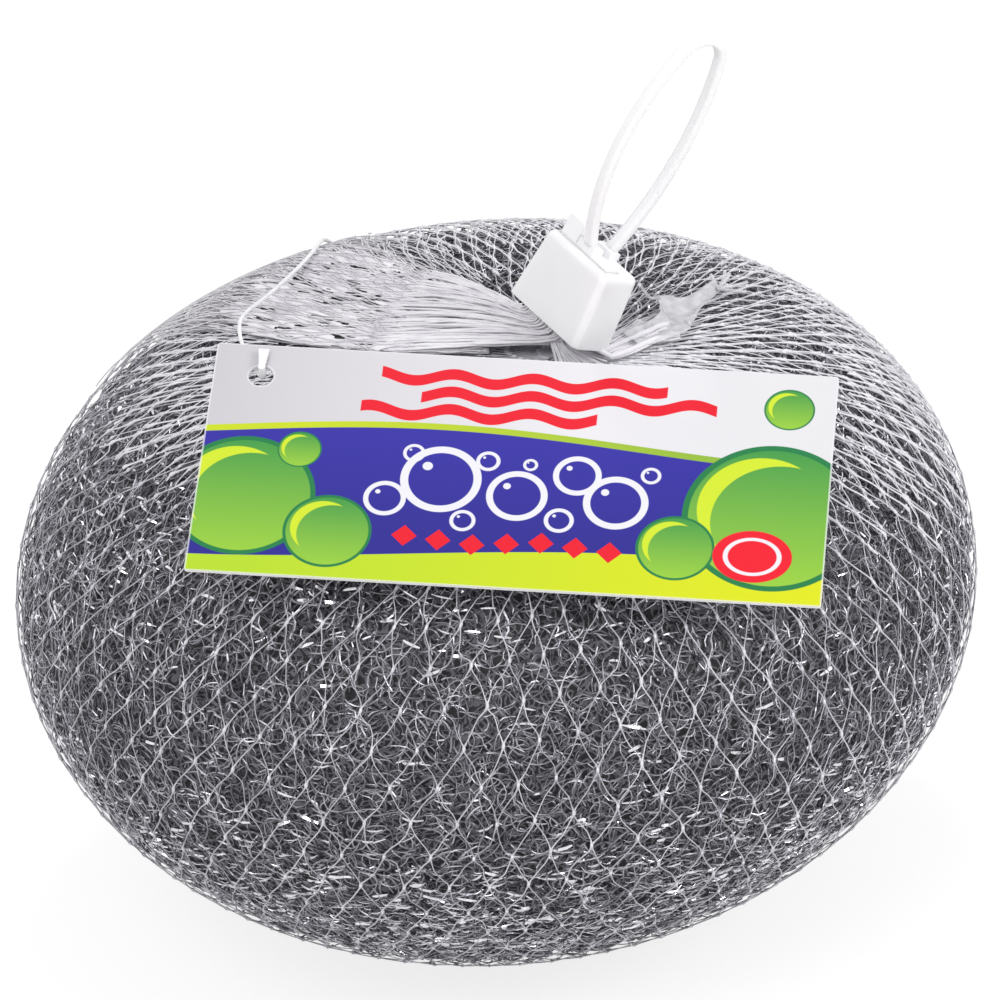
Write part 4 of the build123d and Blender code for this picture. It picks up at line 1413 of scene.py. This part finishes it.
# Wavy red ribbons in the white top.
for height, first, last in ribbons:
    ribbon = sum_up("ABSOLUTE", wave_line(height, *ribbon_wave))
    between = soft_below(apart_from(card_x, (first + last) / 2), (last - first) / 2)
    mask = sum_up("MULTIPLY", soft_below(ribbon, ribbon_half), between)
    face = printed(face, red_ink, mask)

# Green glass drops at the sides, each with a dark rim and a lime gleam.
for x, y, size in drops:
    way = from_spot(x, y)
    ball = fade(card_y, y - size, y + size, ink(150, 200, 62), ink(58, 146, 70))
    face = printed(face, ink(34, 122, 70), soft_below(way, size))
    face = printed(face, ball, soft_below(way, size * 0.93))
    inside = soft_below(from_spot(x - size * 0.12, y + size * 0.1), size * 0.72)
    way = sum_up("MULTIPLY", from_spot(x + size * 0.1, y - size * 0.06), -1)
    gleam = sum_up("MULTIPLY", inside, soft_below(way, -size * 0.78))
    face = printed(face, ink(204, 224, 48), gleam)

# White foam rings and dots in the blue.
for x, y, size, line in foam:
    face = printed(face, white_ink, soft_below(apart_from(from_spot(x, y), size), line / 2))
    gleam = soft_below(from_spot(x - size * 0.4, y + size * 0.42), size * 0.14)
    face = printed(face, white_ink, gleam)

# A row of red lozenges along the strip's top, and a red disc on the right.
for x in range(-12, 15, 4):
    across = apart_from(card_x, x + 0.01)
    up = apart_from(card_y, lozenge_y + 0.4 * math.sin(x * 0.4))
    face = printed(face, red_ink, soft_below(sum_up("ADD", across, up), lozenge_half))
face = printed(face, ink(232, 26, 46), soft_below(from_spot(*disc), disc_radius))
face = printed(face, white_ink, soft_below(apart_from(from_spot(*disc), disc_ring), 0.22))

# The print is on the front only: the cut edges and the back stay bare paper.
fibres = {"Vector": flatten, "Scale": 1.6, "Detail": 4}
fibres = add(card_tree, "ShaderNodeTexNoise", fibres)
paper = fade(fibres, 0.35, 0.65, ink(226, 225, 228), ink(238, 237, 239))
bare = soft_below(card_z, 0.15, 0.01)
sides = sum_up("SUBTRACT", sum_up("ABSOLUTE", card_x), card_half_width - card_worn_side)
ends = sum_up("SUBTRACT", sum_up("ABSOLUTE", card_y), card_half_height - card_worn_end)
rim = sum_up("SUBTRACT", hole_radius, from_spot(*hole_spot))
trimmed = sum_up("MAXIMUM", sum_up("MAXIMUM", sides, ends), rim)
worn = sum_up("SUBTRACT", 1.0, soft_below(trimmed, 0, 0.05))
face = printed(face, bare_edge, sum_up("MULTIPLY", worn, 0.6))
face = printed(face, paper, bare)
gloss = {"Value": bare, "To Min": print_roughness, "To Max": paper_roughness}
grain = {"Height": fibres, "Strength": 0.12, "Distance": 0.00004}
card_looks = {
    "Base Color": face,
    "Roughness": add(card_tree, "ShaderNodeMapRange", gloss),
    "Normal": add(card_tree, "ShaderNodeBump", grain),
    "Specular IOR Level": 0.2,
}
end_paint(card_tree, card_looks)
coat_node("label_card", card_paint)


low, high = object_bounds()
